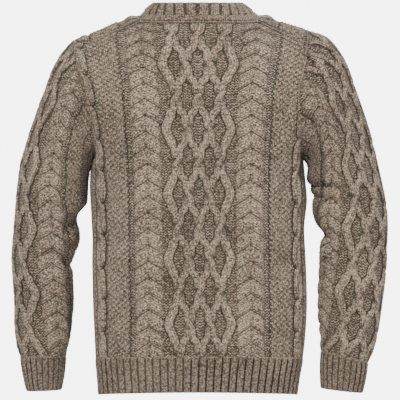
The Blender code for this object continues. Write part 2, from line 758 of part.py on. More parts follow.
# Ground of the two body panels.
back, back_place = panel(-1)
front, front_place = panel(1)
back_n = normals(back, False, back * np.array([1.0, 1.0, 0.0]))
front_n = normals(front, False, front * np.array([1.0, 1.0, 0.0]))
for column, way in ((0, -1.0), (-1, 1.0)):
    for n in (back_n, front_n):
        n[: UNDERARM_ROW + 1, column] = (way, 0.0, 0.0)

# Front and back share one direction through the cloth along the shoulder seams.

on_seam = [i for i in range(back.shape[1]) if abs(i - middle) >= NECK_COLUMN]
shared = unit(back_n[-1][on_seam] + front_n[-1][on_seam])
back_n[-1][on_seam] = shared
front_n[-1][on_seam] = shared

# Armhole lines, up the back edge from the underarm and down the front edge.
sleeves = []
for side, table, creases in ((-1, SLEEVE_LEFT, CREASES_LEFT), (1, SLEEVE_RIGHT, CREASES_RIGHT)):
    column = 0 if side < 0 else -1
    up = back[UNDERARM_ROW:, column]
    down = front[UNDERARM_ROW:, column][::-1]
    hole = np.vstack([up, down[1:-1]])
    grid, place = sleeve_ground(side, hole, table, creases)
    hole = onto(hole, grid[0])
    back[UNDERARM_ROW:, column] = hole[: len(up)]
    front[UNDERARM_ROW:, column] = np.vstack([hole[:1], hole[len(up):][::-1], hole[len(up) - 1:len(up)]])
    axis = np.mean(grid, axis=1, keepdims=True)
    n = normals(grid, True, grid - axis)
    hole_n = np.vstack([back_n[UNDERARM_ROW:, column], front_n[UNDERARM_ROW:, column][::-1][1:-1]])
    # The direction through the cloth at the seam is half way between both pieces.
    n[0] = unit(n[0] + unit(carried(grid[0], hole, hole_n)))
    both = carried(hole, grid[0], n[0])
    size = len(up)
    back_n[UNDERARM_ROW:, column] = both[:size]
    front_n[UNDERARM_ROW:, column] = np.vstack([both[:1], both[size:][::-1], both[size - 1:size]])
    sleeves.append((grid, place, n))

# Neck seam line, round the back and then round the front.
lo = middle - NECK_COLUMN
hi = middle + NECK_COLUMN
neck_line = np.vstack([back[-1][lo:hi + 1], front[-1][lo + 1:hi][::-1]])
neck_n = np.vstack([back_n[-1][lo:hi + 1], front_n[-1][lo + 1:hi][::-1]])
back_middle = NECK_COLUMN
neck_line = np.roll(neck_line, -back_middle, axis=0)
neck_n = np.roll(neck_n, -back_middle, axis=0)
count = 2 * NECK_RIBS
base = share_points(neck_line, np.hstack([neck_line, neck_n]), count, True)
turn = np.arange(count) / count * 2 * np.pi
run = np.where(turn > np.pi, 2 * np.pi - turn, turn)
hand = np.where(turn > np.pi, -1.0, 1.0)
round_at = np.interp(run, [0.0, 0.26 * np.pi, 0.48 * np.pi, np.pi], [0.0, 0.33 * np.pi, 0.52 * np.pi, np.pi])
front_part = np.clip(-np.cos(round_at), 0.0, 1.0)
back_part = np.clip(np.cos(round_at), 0.0, 1.0)
top_x = 0.0775 * np.sin(round_at) ** 0.9 * hand + middle_x(0.0)
top_y = 0.074 * front_part - 0.064 * back_part
top_z = 0.0375 - 0.0030 * back_part - 0.083 * front_part**1.5
top_line = np.stack([top_x, top_y, top_z], axis=1)
band = []
for share, puff in ((0.0, 0.0), (0.24, 0.0012), (0.44, 0.0020), (0.50, 0.0026), (0.78, 0.0022), (1.0, 0.0)):
    line = base[:, :3] * (1 - share) + top_line * share
    away = unit(line * np.array([1.0, 1.0, 0.0]))
    band.append(line + away * puff)
band = np.array(band)
band_n = normals(band, True, band * np.array([1.0, 1.0, 0.0]))
both = unit(neck_n + unit(carried(neck_line, band[0], band_n[0])))
back_n[-1][lo:hi + 1] = np.roll(both, back_middle, axis=0)[: hi - lo + 1]
front_n[-1][lo + 1:hi] = np.roll(both, back_middle, axis=0)[hi - lo + 1:][::-1]
front_n[-1][lo] = back_n[-1][lo]
front_n[-1][hi] = back_n[-1][hi]
band_n[0] = share_points(neck_line, both, count, True)

WOOL = (0.30, 0.24, 0.185)
make_panel("back_panel", back, back_n, back_place, WOOL)
make_panel("front_panel", front, front_n, front_place, (0.29, 0.232, 0.18))
for name, (grid, place, n) in zip(("sleeve_left", "sleeve_right"), sleeves):
    make_sleeve(name, grid, n, place, (0.295, 0.236, 0.182))
ribbed("neckband", band, band_n, NECK_RIBS, True, (0.28, 0.225, 0.172), 3)

# Hem ribs, back and front, from the seam down to the edge.
for name, face, ground in (("hem_rib_back", -1, back), ("hem_rib_front", 1, front)):
    count = 2 * HEM_RIBS
    top = share_points(ground[0], ground[0], count, False)
    lines = [top]
    for share, height in ((0.5, 0.0315), (1.0, 0.0630)):
        z = HEM_SEAM - height
        left = half_row(z, -1, face)[::-1]
        right = half_row(z, 1, face)[1:]
        line = np.vstack([left, right])
        line = share_points(line, line, count, False)
        spread_x = np.abs(np.linspace(-1.0, 1.0, count + 1))
        line[:, 2] -= SIDE_DROP * (1.0 + 0.35 * share) * spread_x**2
        lines.append(line)
    lines = np.array(lines)
    n = normals(lines, False, lines * np.array([1.0, 1.0, 0.0]))
    n[:, 0] = (-1.0, 0.0, 0.0)
    n[:, -1] = (1.0, 0.0, 0.0)
    ribbed(name, lines, n, HEM_RIBS, False, (0.285, 0.228, 0.175))

# Cuffs, from the sleeve seam down to the edge.
ends = ((-1, "cuff_left", CUFF_END_LEFT, sleeves[0]), (1, "cuff_right", CUFF_END_RIGHT, sleeves[1]))
for side, name, end, (grid, place, n) in ends:
    count = 2 * CUFF_RIBS
    loop = grid[-1]
    top = share_points(loop, loop, count, True)
    station = (end[0] * side, end[1], end[2] * side, end[3], end[4], end[5])
    behind = ring(station, lambda total: np.linspace(0.0, total, 31), -1)[0]
    before = ring(station, lambda total: np.linspace(0.0, total, 31), 1)[0]
    loop = np.vstack([behind, before[-2:0:-1]])
    low = share_points(loop, loop, count, True)
    mid = 0.5 * (top + low)
    away = unit(mid - np.mean(mid, axis=0))
    mid = mid + 0.0015 * away
    lines = np.array([top, mid, low])
    axis = np.mean(lines, axis=1, keepdims=True)
    cuff_n = normals(lines, True, lines - axis)
    ribbed(name, lines, cuff_n, CUFF_RIBS, True, (0.285, 0.228, 0.175))
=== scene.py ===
# %% [markdown]
# A heavy pullover with knitted cables, filled out as if somebody wore it. Nobody is in it, so
# the neck, the hem and the cuffs are open and the cloth is a thin shell. The camera sees the
# back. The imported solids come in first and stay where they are. Every knitted piece below is
# a finer shell on the form of its solid and stands in its place.

# %% Load the solids
import bmesh
import bpy
import numpy as np
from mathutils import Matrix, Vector


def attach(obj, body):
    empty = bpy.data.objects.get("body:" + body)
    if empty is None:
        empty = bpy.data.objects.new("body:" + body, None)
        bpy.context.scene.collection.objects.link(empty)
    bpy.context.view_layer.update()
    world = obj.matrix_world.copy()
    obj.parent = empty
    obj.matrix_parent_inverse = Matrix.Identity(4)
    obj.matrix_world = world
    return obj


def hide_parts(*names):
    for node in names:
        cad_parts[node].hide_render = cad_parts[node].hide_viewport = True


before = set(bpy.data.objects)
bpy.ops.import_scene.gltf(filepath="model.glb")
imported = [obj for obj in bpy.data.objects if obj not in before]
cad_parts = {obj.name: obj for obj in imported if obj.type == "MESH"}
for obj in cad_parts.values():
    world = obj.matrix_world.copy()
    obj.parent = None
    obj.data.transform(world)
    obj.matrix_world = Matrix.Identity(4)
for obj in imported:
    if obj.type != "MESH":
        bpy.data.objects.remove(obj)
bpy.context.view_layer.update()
print("solids:", sorted(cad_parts))

# %% [markdown]
# The measures come first, because all pieces share them. One repeat of the middle lattice is
# 24 rows high, and one stitch is 6.5 mm wide, which is how a thick wool yarn knits. The
# tables give the outline of the body and the sleeves, read from the photograph at 1.8 mm a
# pixel. They could be sculpted by eye, but a table keeps every seam at one place.

# %% Measures in metres
REPEAT = 0.117
ROW = REPEAT / 8  # a coarse row of cloth, three rows of stitches
KNIT_REPEAT = 0.1149  # the same repeat as knitted, with the grid's small stretch taken out
KNIT_START = 0.0016  # the lattice starts this far over the hem seam
STITCH_HIGH = KNIT_REPEAT / 24
STITCH = 0.0065
FINE_STEP = 0.00212  # width of a fine column, three to a stitch
WALL = 0.0020  # thickness of the plain cloth
RIB_WALL = 0.85 * WALL
SEAM = 0.00025  # a piece stops this far short of a straight seam line
ROUND_SEAM = 0.0003  # and this far short of a round one
SIDE_ALLOW = 0.0020  # the ground of the cloth lies this far inside the outline
HEM_SEAM = -0.595  # height of the seam over the hem rib
SIDE_DROP = 0.007  # the hem hangs this much lower at the sides
LOW_ROWS = 31  # coarse rows from the hem seam to the chest
TOP_ROWS = 11  # coarse rows from there to the neck and the shoulder seam
UNDERARM_ROW = 24
SLEEVE_ROWS = 34
NECK_COLUMN = 9  # column at the corner of neck seam and shoulder seam
EVEN_COLUMN = 12  # the columns past this one share what is left of a row
SHOULDER_R = 0.045  # rounding of the cloth over the shoulder line
LEVEL = np.array([1.0, 1.0, 0.0])  # takes the height out of a direction
# Distances of the coarse columns from the middle wale, along the cloth.
COLUMNS = 0.001 * np.array([
    0, 10, 20, 29, 39, 49, 58, 67, 79, 91, 103, 115, 131, 151, 172, 191.5, 208, 231, 255,
])
middle = len(COLUMNS) - 1

# Torso: height, left edge, right edge, depth of the back, depth of the front.
TORSO = np.array([
    (-0.672, -0.1808, 0.1756, 0.100, 0.103),
    (-0.650, -0.1822, 0.1785, 0.103, 0.107),
    (-0.626, -0.1840, 0.1820, 0.106, 0.110),
    (-0.602, -0.1863, 0.1866, 0.109, 0.113),
    (-0.547, -0.1894, 0.1931, 0.113, 0.117),
    (-0.500, -0.1917, 0.1953, 0.114, 0.119),
    (-0.461, -0.1926, 0.1945, 0.114, 0.120),
    (-0.422, -0.1933, 0.1930, 0.113, 0.120),
    (-0.391, -0.1926, 0.1912, 0.113, 0.121),
    (-0.362, -0.1940, 0.1905, 0.114, 0.122),
    (-0.340, -0.1950, 0.1930, 0.116, 0.123),
    (-0.317, -0.1964, 0.1953, 0.118, 0.124),
    (-0.293, -0.1975, 0.1935, 0.119, 0.125),
    (-0.268, -0.1965, 0.1912, 0.120, 0.125),
    (-0.243, -0.1935, 0.1890, 0.120, 0.124),
    (-0.200, -0.1935, 0.1890, 0.121, 0.122),
    (-0.141, -0.1935, 0.1890, 0.119, 0.117),
])
# Armhole above the underarm: height, left x, right x, depth behind and before.
ARMHOLE = np.array([
    (-0.243, 0.1915, 0.1870, 0.000),
    (-0.229, 0.1880, 0.1848, 0.036),
    (-0.214, 0.1868, 0.1835, 0.050),
    (-0.200, 0.1872, 0.1822, 0.058),
    (-0.185, 0.1890, 0.1810, 0.064),
    (-0.170, 0.1920, 0.1795, 0.067),
    (-0.156, 0.1955, 0.1785, 0.069),
    (-0.141, 0.1995, 0.1775, 0.070),
])
# Top line of the shoulders: distance from the middle, left height, right height.
RIDGE = np.array([
    (0.100, 0.0165, 0.0165),
    (0.110, 0.0145, 0.0155),
    (0.124, 0.0095, 0.0110),
    (0.142, 0.0032, 0.0032),
    (0.160, -0.0045, -0.0020),
    (0.175, -0.0115, -0.0065),
    (0.190, -0.0172, -0.0100),
    (0.205, -0.0232, -0.0175),
    (0.230, -0.0325, -0.0285),
])
# Shoulder seam, which lies on the back: distance from the middle and height.
SEAM_LEFT = np.array([
    (0.104, 0.0030),
    (0.131, -0.0090),
    (0.144, -0.0120),
    (0.160, -0.0185),
    (0.176, -0.0265),
    (0.191, -0.0340),
    (0.207, -0.0350),
    (0.224, -0.0345),
])
SEAM_RIGHT = np.array([
    (0.104, 0.0030),
    (0.120, -0.0040),
    (0.138, -0.0126),
    (0.147, -0.0160),
    (0.166, -0.0263),
    (0.177, -0.0330),
    (0.187, -0.0410),
    (0.193, -0.0455),
])
# Front neckline from its lowest point to the seam behind the shoulder line.
NECKLINE = np.array([
    (0.000, 0.0970, -0.0780),
    (0.031, 0.0966, -0.0700),
    (0.060, 0.0905, -0.0560),
    (0.083, 0.0715, -0.0270),
    (0.098, 0.0400, 0.0010),
    (0.104, 0.0040, 0.0155),
])
# Sleeves: outer x and z, inner x and z, half depth, how far forward.
SLEEVE_LEFT = np.array([
    (0.227, -0.030, 0.192, -0.243, 0.070, 0.000),
    (0.257, -0.076, 0.2015, -0.262, 0.073, 0.000),
    (0.276, -0.124, 0.2040, -0.281, 0.073, 0.001),
    (0.289, -0.157, 0.2045, -0.299, 0.072, 0.002),
    (0.308, -0.214, 0.2050, -0.322, 0.069, 0.003),
    (0.320, -0.256, 0.2085, -0.343, 0.066, 0.004),
    (0.327, -0.317, 0.2125, -0.367, 0.062, 0.006),
    (0.331, -0.361, 0.2150, -0.394, 0.060, 0.008),
    (0.335, -0.410, 0.2245, -0.419, 0.057, 0.010),
    (0.334, -0.452, 0.2265, -0.454, 0.055, 0.012),
    (0.331, -0.502, 0.2255, -0.502, 0.052, 0.015),
    (0.330, -0.551, 0.2300, -0.551, 0.048, 0.018),
    (0.3236, -0.599, 0.2394, -0.599, 0.042, 0.020),
])
SLEEVE_RIGHT = np.array([
    (0.1955, -0.011, 0.188, -0.243, 0.070, 0.000),
    (0.229, -0.027, 0.1990, -0.258, 0.072, 0.000),
    (0.259, -0.065, 0.2000, -0.273, 0.073, 0.000),
    (0.276, -0.110, 0.2005, -0.288, 0.073, 0.001),
    (0.296, -0.164, 0.2030, -0.305, 0.072, 0.002),
    (0.308, -0.205, 0.2035, -0.322, 0.069, 0.003),
    (0.321, -0.256, 0.2045, -0.340, 0.066, 0.004),
    (0.333, -0.313, 0.2095, -0.358, 0.063, 0.006),
    (0.338, -0.356, 0.2175, -0.377, 0.060, 0.008),
    (0.337, -0.406, 0.2165, -0.409, 0.057, 0.010),
    (0.335, -0.448, 0.2160, -0.446, 0.055, 0.012),
    (0.329, -0.502, 0.2145, -0.497, 0.053, 0.015),
    (0.319, -0.565, 0.2195, -0.551, 0.049, 0.018),
    (0.3056, -0.611, 0.2196, -0.588, 0.043, 0.020),
])
CUFF_END_LEFT = (0.3120, -0.6615, 0.2477, -0.6590, 0.034, 0.023)
CUFF_END_RIGHT = (0.2960, -0.6650, 0.2193, -0.6560, 0.036, 0.023)
print("repeats up the back:", round((LOW_ROWS + TOP_ROWS) * ROW / REPEAT, 1))

# %% [markdown]
# A worn sweater never hangs smooth. Cloth gathers in the bend of the elbow and below the
# underarms. A cloth simulation would have to be run each time and would wash out the
# cables, so each fold is a soft trough between two points, with its own width and depth.
# The hidden front has folds of the same kind in other places.

# %% Folds: ends x, z and x, z, width, depth
ELBOW_LEFT = [
    ((-0.212, -0.345), (-0.236, -0.371), 0.014, 0.0060),
    ((-0.275, -0.407), (-0.229, -0.432), 0.010, 0.0035),
    ((-0.222, -0.300), (-0.262, -0.318), 0.013, 0.0030),
]
ELBOW_RIGHT = [
    ((0.202, -0.291), (0.248, -0.300), 0.011, 0.0040),
    ((0.204, -0.309), (0.246, -0.326), 0.011, 0.0035),
    ((0.218, -0.374), (0.246, -0.394), 0.012, 0.0050),
]
CREASES_LEFT = [
    ((-0.208, -0.334), (-0.240, -0.374), 0.0075, 0.0065),
    ((-0.277, -0.406), (-0.228, -0.437), 0.0050, 0.0058),
    ((-0.214, -0.283), (-0.268, -0.312), 0.0080, 0.0022),
    ((-0.300, -0.240), (-0.262, -0.262), 0.0090, 0.0018),
    ((-0.322, -0.478), (-0.276, -0.492), 0.0080, 0.0020),
    ((-0.233, -0.528), (-0.272, -0.545), 0.0080, 0.0022),
    ((-0.240, -0.586), (-0.318, -0.590), 0.0070, 0.0020),
    ((-0.209, -0.128), (-0.197, -0.238), 0.0090, 0.0060),
    ((-0.203, -0.240), (-0.2045, -0.325), 0.0180, -0.0048),
]
CREASES_RIGHT = [
    ((0.203, -0.289), (0.252, -0.295), 0.0055, 0.0055),
    ((0.206, -0.309), (0.252, -0.322), 0.0055, 0.0046),
    ((0.214, -0.374), (0.246, -0.392), 0.0060, 0.0060),
    ((0.300, -0.222), (0.262, -0.248), 0.0090, 0.0020),
    ((0.330, -0.402), (0.282, -0.428), 0.0080, 0.0020),
    ((0.221, -0.498), (0.266, -0.515), 0.0080, 0.0026),
    ((0.214, -0.575), (0.300, -0.597), 0.0070, 0.0020),
    ((0.207, -0.128), (0.198, -0.240), 0.0090, 0.0055),
    ((0.2035, -0.268), (0.2035, -0.298), 0.0130, -0.0062),
]
BACK_FOLDS = [
    ((-0.178, -0.268), (-0.140, -0.352), 0.013, 0.0040),
    ((-0.186, -0.318), (-0.150, -0.420), 0.014, 0.0030),
    ((0.176, -0.262), (0.132, -0.338), 0.013, 0.0036),
    ((0.182, -0.405), (0.118, -0.462), 0.016, 0.0034),
    ((-0.176, -0.486), (-0.098, -0.540), 0.017, 0.0032),
    ((0.168, -0.545), (0.096, -0.566), 0.014, 0.0026),
    ((-0.165, -0.120), (-0.150, -0.215), 0.012, 0.0026),
    ((0.160, -0.110), (0.150, -0.200), 0.012, 0.0024),
]
FRONT_FOLDS = [
    ((-0.182, -0.262), (-0.118, -0.372), 0.014, 0.0044),
    ((0.180, -0.270), (0.128, -0.395), 0.015, 0.0040),
    ((0.150, -0.128), (0.138, -0.226), 0.012, 0.0030),
    ((-0.152, -0.116), (-0.144, -0.206), 0.013, 0.0032),
    ((-0.160, -0.440), (-0.074, -0.478), 0.018, 0.0034),
    ((0.172, -0.500), (0.090, -0.532), 0.016, 0.0030),
    ((-0.120, -0.560), (0.010, -0.575), 0.016, 0.0024),
]
tables = (ELBOW_LEFT, ELBOW_RIGHT, CREASES_LEFT, CREASES_RIGHT, BACK_FOLDS, FRONT_FOLDS)
print("folds by hand:", sum(map(len, tables)))

# %% [markdown]
# Small tools for curves: a smooth line through a table, a distance along a line, and a
# curve with two handles. Blender's own curves could do this, but the cloth needs the same
# points again for the wall, the seams and the ribs.

# %% Curve helpers


def unit(v):
    """Vectors of length one."""
    v = np.asarray(v, float)
    return v / np.maximum(np.linalg.norm(v, axis=-1, keepdims=True), 1e-12)


def bell(distance, width):
    """One at nought and less on both sides of it."""
    return np.exp(-((distance / width) ** 2))


def ease(t):
    """Soft step from nought to one."""
    return t * t * (3.0 - 2.0 * t)


def glide(xs, ys, x):
    """Smooth curve through a short table, read at x."""
    xs = np.asarray(xs, float)
    ys = np.asarray(ys, float)
    x = np.clip(np.asarray(x, float), xs[0], xs[-1])
    slope = np.gradient(ys, xs, axis=0)
    k = np.clip(np.searchsorted(xs, x, side="right") - 1, 0, len(xs) - 2)
    h = xs[k + 1] - xs[k]
    t = (x - xs[k]) / h
    if ys.ndim > 1:
        t = np.expand_dims(t, -1)
        h = np.expand_dims(h, -1)
    a = 2 * t**3 - 3 * t**2 + 1
    b = t**3 - 2 * t**2 + t
    c = -2 * t**3 + 3 * t**2
    d = t**3 - t**2
    return a * ys[k] + b * h * slope[k] + c * ys[k + 1] + d * h * slope[k + 1]


def lengths(points):
    """Distance along a line of points, at each point."""
    steps = np.linalg.norm(np.diff(points, axis=0), axis=1)
    return np.concatenate(([0.0], np.cumsum(steps)))


def along(points, values, where):
    """Values carried by a line of points, read at distances along it."""
    run = lengths(points)
    where = np.clip(where, 0.0, run[-1])
    return np.stack([np.interp(where, run, values[:, c]) for c in range(values.shape[1])], axis=1)


def cubic(p0, p1, p2, p3, count=61):
    """Points of a cubic curve with two end points and two handles."""
    t = np.linspace(0.0, 1.0, count)[:, None]
    s = 1.0 - t
    shares = (s**3, 3 * s * s * t, 3 * s * t * t, t**3)
    return sum(share * np.array(p) for share, p in zip(shares, (p0, p1, p2, p3)))


def hermite(a, ta, b, tb, count=33):
    """Curve that leaves a along ta and comes into b along tb."""
    size = np.linalg.norm(b - a)
    return cubic(a, a + ta * size / 3.0, b - tb * size / 3.0, b, count)


def share_points(loop, values, count, closed):
    """Points and carried values spaced evenly along a seam line."""
    if closed:
        loop = np.vstack([loop, loop[:1]])
        values = np.vstack([values, values[:1]])
    at = np.linspace(0.0, lengths(loop)[-1], count + 1)
    if closed:
        at = at[:-1]
    return along(loop, values, at)


def nearest_on(points, loop, values):
    """Values of a closed line read at the places nearest to the points."""
    a = loop
    b = np.roll(loop, -1, axis=0)
    following = np.roll(values, -1, axis=0)
    found = []
    for p in points:
        share = np.sum((p - a) * (b - a), axis=1) / np.maximum(np.sum((b - a) ** 2, axis=1), 1e-12)
        share = np.clip(share, 0.0, 1.0)[:, None]
        k = np.argmin(np.linalg.norm(a + share * (b - a) - p, axis=1))
        found.append(values[k] * (1 - share[k]) + following[k] * share[k])
    return np.array(found)


hem_edges = glide(TORSO[:, 0], TORSO[:, 1:3], HEM_SEAM)
print("outline of the hem seam in mm:", np.round(hem_edges * 1000, 1))

# %% [markdown]
# The body is two flat knitted pieces, front and back, that round the wearer. Each row of
# the cloth is a curve from the middle to the side seam. Above the underarm the row is cut
# at the armhole, and the top rows run up to the shoulder seam, which lies on the back, so
# the front piece goes over the shoulders. The columns of the grid follow the knitted wales.

# %% Rows of the body


def torso_at(z, column):
    """A measure of the torso at a height."""
    return glide(TORSO[:, 0], TORSO[:, column], z)


def middle_x(z):
    """The middle wale leans a little from the neck to the hem."""
    return np.interp(z, [-0.60, 0.0], [0.0027, -0.0027])


def quarter(front_point, side_point):
    """Flat curve from the middle of a body section to its side."""
    start = np.array(front_point)
    edge = np.array(side_point)
    first = start + np.array([0.58 * (edge[0] - start[0]), 0.0])
    second = edge + np.array([0.0, 0.62 * (start[1] - edge[1])])
    return cubic(start, first, second, edge, 121)


def half_row(z, side, face):
    """Line round one quarter of the torso, from the middle wale to its edge."""
    xc = float(middle_x(z))
    depth = float(torso_at(z, 3 if face < 0 else 4)) - SIDE_ALLOW
    full = abs(float(torso_at(z, 1 if side < 0 else 2))) - SIDE_ALLOW
    if z <= HEM_SEAM + UNDERARM_ROW * ROW + 1e-6:
        side_point = np.array([side * full, 0.0])
        share = 0.0
    else:
        x = side * float(glide(ARMHOLE[:, 0], ARMHOLE[:, 1 if side < 0 else 2], z))
        share = float(np.interp(z, ARMHOLE[:, 0], ARMHOLE[:, 3])) / depth
        plain = quarter((0.0, 1.0), (1.0, 0.0))
        reach = float(np.interp(-share, -plain[:, 1], plain[:, 0]))
        side_point = np.array([xc + (x - xc) / reach, 0.0])
    flat = quarter((xc, face * depth), side_point)
    line = np.column_stack([flat, np.full(len(flat), z)])
    if share > 0.0:
        limit = np.interp(-share * depth, -np.abs(line[:, 1]), np.arange(len(line)))
        cut = int(limit)
        last = line[cut] + (limit - cut) * (line[min(cut + 1, len(line) - 1)] - line[cut])
        line = np.vstack([line[: cut + 1], last])
    return line


def spread(total, stretch):
    """Where the columns lie along a line of the given length."""
    at = stretch * COLUMNS
    knee = at[EVEN_COLUMN]
    rest = (COLUMNS - COLUMNS[EVEN_COLUMN]) / (COLUMNS[-1] - COLUMNS[EVEN_COLUMN])
    return np.where(np.arange(len(COLUMNS)) > EVEN_COLUMN, knee + (total - knee) * rest, at)


def shoulder_seam(side):
    """Points of the seam that joins front and back, and their drop below the ridge."""
    table = SEAM_LEFT if side < 0 else SEAM_RIGHT
    x = np.linspace(table[0, 0], table[-1, 0], 41)
    z = glide(table[:, 0], table[:, 1], x)
    top = glide(RIDGE[:, 0], RIDGE[:, 1 if side < 0 else 2], x)
    drop = np.clip(top - z, 0.0, SHOULDER_R * 0.95)
    y = -np.sqrt(2 * SHOULDER_R * drop - drop**2)
    return np.stack([side * x, y, z], axis=1), drop


def neck_edge(side, face):
    """Neck seam from the middle to the shoulder seam."""
    corner = shoulder_seam(side)[0][0]
    xc = float(middle_x(0.0))
    if face < 0:
        handles = (side * 0.046, -0.076, -0.0005), (side * 0.086, -0.063, -0.001)
        return cubic((xc, -0.076, 0.0), *handles, corner)
    pts = NECKLINE * np.array([side, 1.0, 1.0])
    pts[0, 0] = xc
    pts = np.vstack([pts, corner])
    run = lengths(pts)
    return glide(run, pts, np.linspace(0.0, run[-1], 81))


print("back neck seam in mm:", round(2000 * lengths(neck_edge(1, -1))[-1]))

# %% [markdown]
# Above the chest the cloth can't be cut in level rows any more, because it ends at the neck
# and at the shoulder seam. Each column goes on as one curve to its own end point, and the
# rows divide these curves. A grid that is bent over the shoulder would also do, but then the
# cables would spread there.

# %% Columns over the shoulders


def over_shoulder(start, lean, side, end, bulge, is_corner):
    """Column of the front up to the neckline, over the shoulder line if it gets there."""
    top_z = float(glide(RIDGE[:, 0], RIDGE[:, 1 if side < 0 else 2], abs(end[0]) + bulge))
    top = np.array([end[0] + side * bulge, 0.0, top_z])
    rise = hermite(start, lean, top, np.array([0.0, -1.0, 0.0]), 65)
    if end[1] >= 0.0:
        limit = np.interp(-end[1], -rise[:, 1], np.arange(len(rise)))
        cut = min(int(limit), len(rise) - 2)
        last = rise[cut] + (limit - cut) * (rise[cut + 1] - rise[cut])
        return np.vstack([rise[: cut + 1], last])
    turn = np.linspace(0.0, np.arcsin(-end[1] / SHOULDER_R), 9)[1:, None]
    arc = np.repeat(top[None, :], len(turn), axis=0)
    arc[:, 0:1] -= side * bulge * (turn / turn[-1]) ** 2
    arc[:, 1:2] = -SHOULDER_R * np.sin(turn)
    arc[:, 2:3] = top_z - SHOULDER_R * (1.0 - np.cos(turn))
    if is_corner:
        arc[-1] = end
    return np.vstack([rise, arc])


def seam_column(start, lean, side, face, i, end, fall):
    """Column of the cloth that ends at the shoulder seam."""
    if face < 0:
        return hermite(start, lean, end, unit(np.array([0.0, SHOULDER_R - fall, -end[1]])))
    out = 0.002 + 0.007 * np.exp(-(i - NECK_COLUMN - 1) / 1.5)
    top = np.array([end[0] + side * out, 0.0, end[2] + fall])
    rise = hermite(start, lean, top, np.array([0.0, -1.0, 0.0]))
    turn = np.linspace(0.0, np.arccos(1.0 - fall / SHOULDER_R), 12)[1:, None]
    share = turn / turn[-1]
    arc = top * (1 - share) + end * share
    arc[:, 1:2] = -SHOULDER_R * np.sin(turn)
    arc[:, 2:3] = top[2] - SHOULDER_R * (1.0 - np.cos(turn))
    arc[-1] = end
    return np.vstack([rise, arc])


def half_panel(side, face):
    """Ground points of one half of a body panel and their place in the knitting."""
    count = len(COLUMNS)
    grid = []
    place = []
    for row in range(LOW_ROWS + 1):
        line = half_row(HEM_SEAM + row * ROW, side, face)
        total = lengths(line)[-1]
        stretch = 1.0 + 0.05 * np.clip((row - 20) / 11.0, 0.0, 1.0)
        at = spread(total, stretch)
        points = along(line, line, at)
        sag = SIDE_DROP * (at / total) ** 2 * np.clip(1.0 - row / 10.0, 0.0, 1.0)
        points[:, 2] -= sag
        grid.append(points)
        place.append(np.stack([at / stretch, np.full(count, row * ROW) - sag], axis=1))
    low = grid[-1]
    lean = unit(grid[-1] - grid[-2])
    seam, drop = shoulder_seam(side)
    neck = neck_edge(side, face)
    neck_length = lengths(neck)[-1]
    if face < 0:
        stretch = neck_length / COLUMNS[NECK_COLUMN]
        neck_at = stretch * COLUMNS[: NECK_COLUMN + 1]
    else:
        stretch = 1.15
        neck_at = neck_length * (COLUMNS[: NECK_COLUMN + 1] / COLUMNS[NECK_COLUMN]) ** 0.9
    neck_points = along(neck, neck, neck_at)
    seam_length = lengths(seam)[-1]
    corner_at = stretch * COLUMNS[NECK_COLUMN]
    reach = (spread(seam_length + corner_at, stretch) - corner_at)[NECK_COLUMN + 1:]
    seam_points = along(seam, np.column_stack([seam, drop]), reach)
    past_corner = COLUMNS[NECK_COLUMN] + reach / stretch
    top_u = np.concatenate([COLUMNS[: NECK_COLUMN + 1], past_corner])
    paths = []
    for i in range(count):
        if i > NECK_COLUMN:
            end = seam_points[i - NECK_COLUMN - 1]
            paths.append(seam_column(low[i], lean[i], side, face, i, end[:3], end[3]))
        elif face < 0:
            f = i / NECK_COLUMN
            into = unit(np.array([0.0, 0.50 + 0.20 * f, 0.86 - 0.16 * f]))
            paths.append(hermite(low[i], lean[i], neck_points[i], into))
        else:
            corner = i == NECK_COLUMN
            bulge = 0.012 if corner else 0.0
            paths.append(over_shoulder(low[i], lean[i], side, neck_points[i], bulge, corner))
    for row in range(1, TOP_ROWS + 1):
        t = row / TOP_ROWS
        points = []
        spot = []
        for i in range(count):
            total = lengths(paths[i])[-1]
            points.append(along(paths[i], paths[i], np.array([t * total]))[0])
            u = place[LOW_ROWS][i][0] * (1 - t) + top_u[i] * t
            if face > 0 and i <= NECK_COLUMN:
                u = abs(points[-1][0]) / 1.10
            spot.append((u, LOW_ROWS * ROW + t * total))
        grid.append(np.array(points))
        place.append(np.array(spot))
    return np.array(grid), np.array(place)


def panel(face):
    """Ground points and knitting places of a whole body panel, left to right."""
    left, left_place = half_panel(-1, face)
    right, right_place = half_panel(1, face)
    grid = np.concatenate([left[:, :0:-1], right], axis=1)
    left_place = left_place * np.array([-1.0, 1.0])
    return grid, np.concatenate([left_place[:, :0:-1], right_place], axis=1)


def normals(grid, closed, outward):
    """Outward directions of a grid of points."""
    if closed:
        across = np.roll(grid, -1, axis=1) - np.roll(grid, 1, axis=1)
    else:
        across = np.gradient(grid, axis=1)
    n = unit(np.cross(across, np.gradient(grid, axis=0)))
    return -n if np.sum(n * outward) < 0 else n


# %% [markdown]
# A sleeve is a tube that starts on the armhole line and ends at the cuff. Its cross lines
# are a little fuller than an ellipse. The tube could be swept along a curve, but the first
# ring has to meet the armhole point by point, so the rings are laid one by one.

# %% Rings of the sleeves


def fold_depth(points, folds, middle_y):
    """How far the folds pull the cloth in."""
    depth = np.zeros(points.shape[:-1])
    for (x0, z0), (x1, z1), width, most in folds:
        a = np.array([x0, z0])
        b = np.array([x1, z1])
        p = points[..., [0, 2]]
        share = np.clip(np.sum((p - a) * (b - a), axis=-1) / np.sum((b - a) ** 2), 0.0, 1.0)
        off = np.linalg.norm(p - a - share[..., None] * (b - a), axis=-1)
        ends = 0.45 + 0.55 * np.sin(np.pi * (0.15 + 0.7 * share))
        pull = most * bell(off, width) * ends
        depth += pull * np.where(points[..., 1] < middle_y, 1.0, 0.7)
    return depth


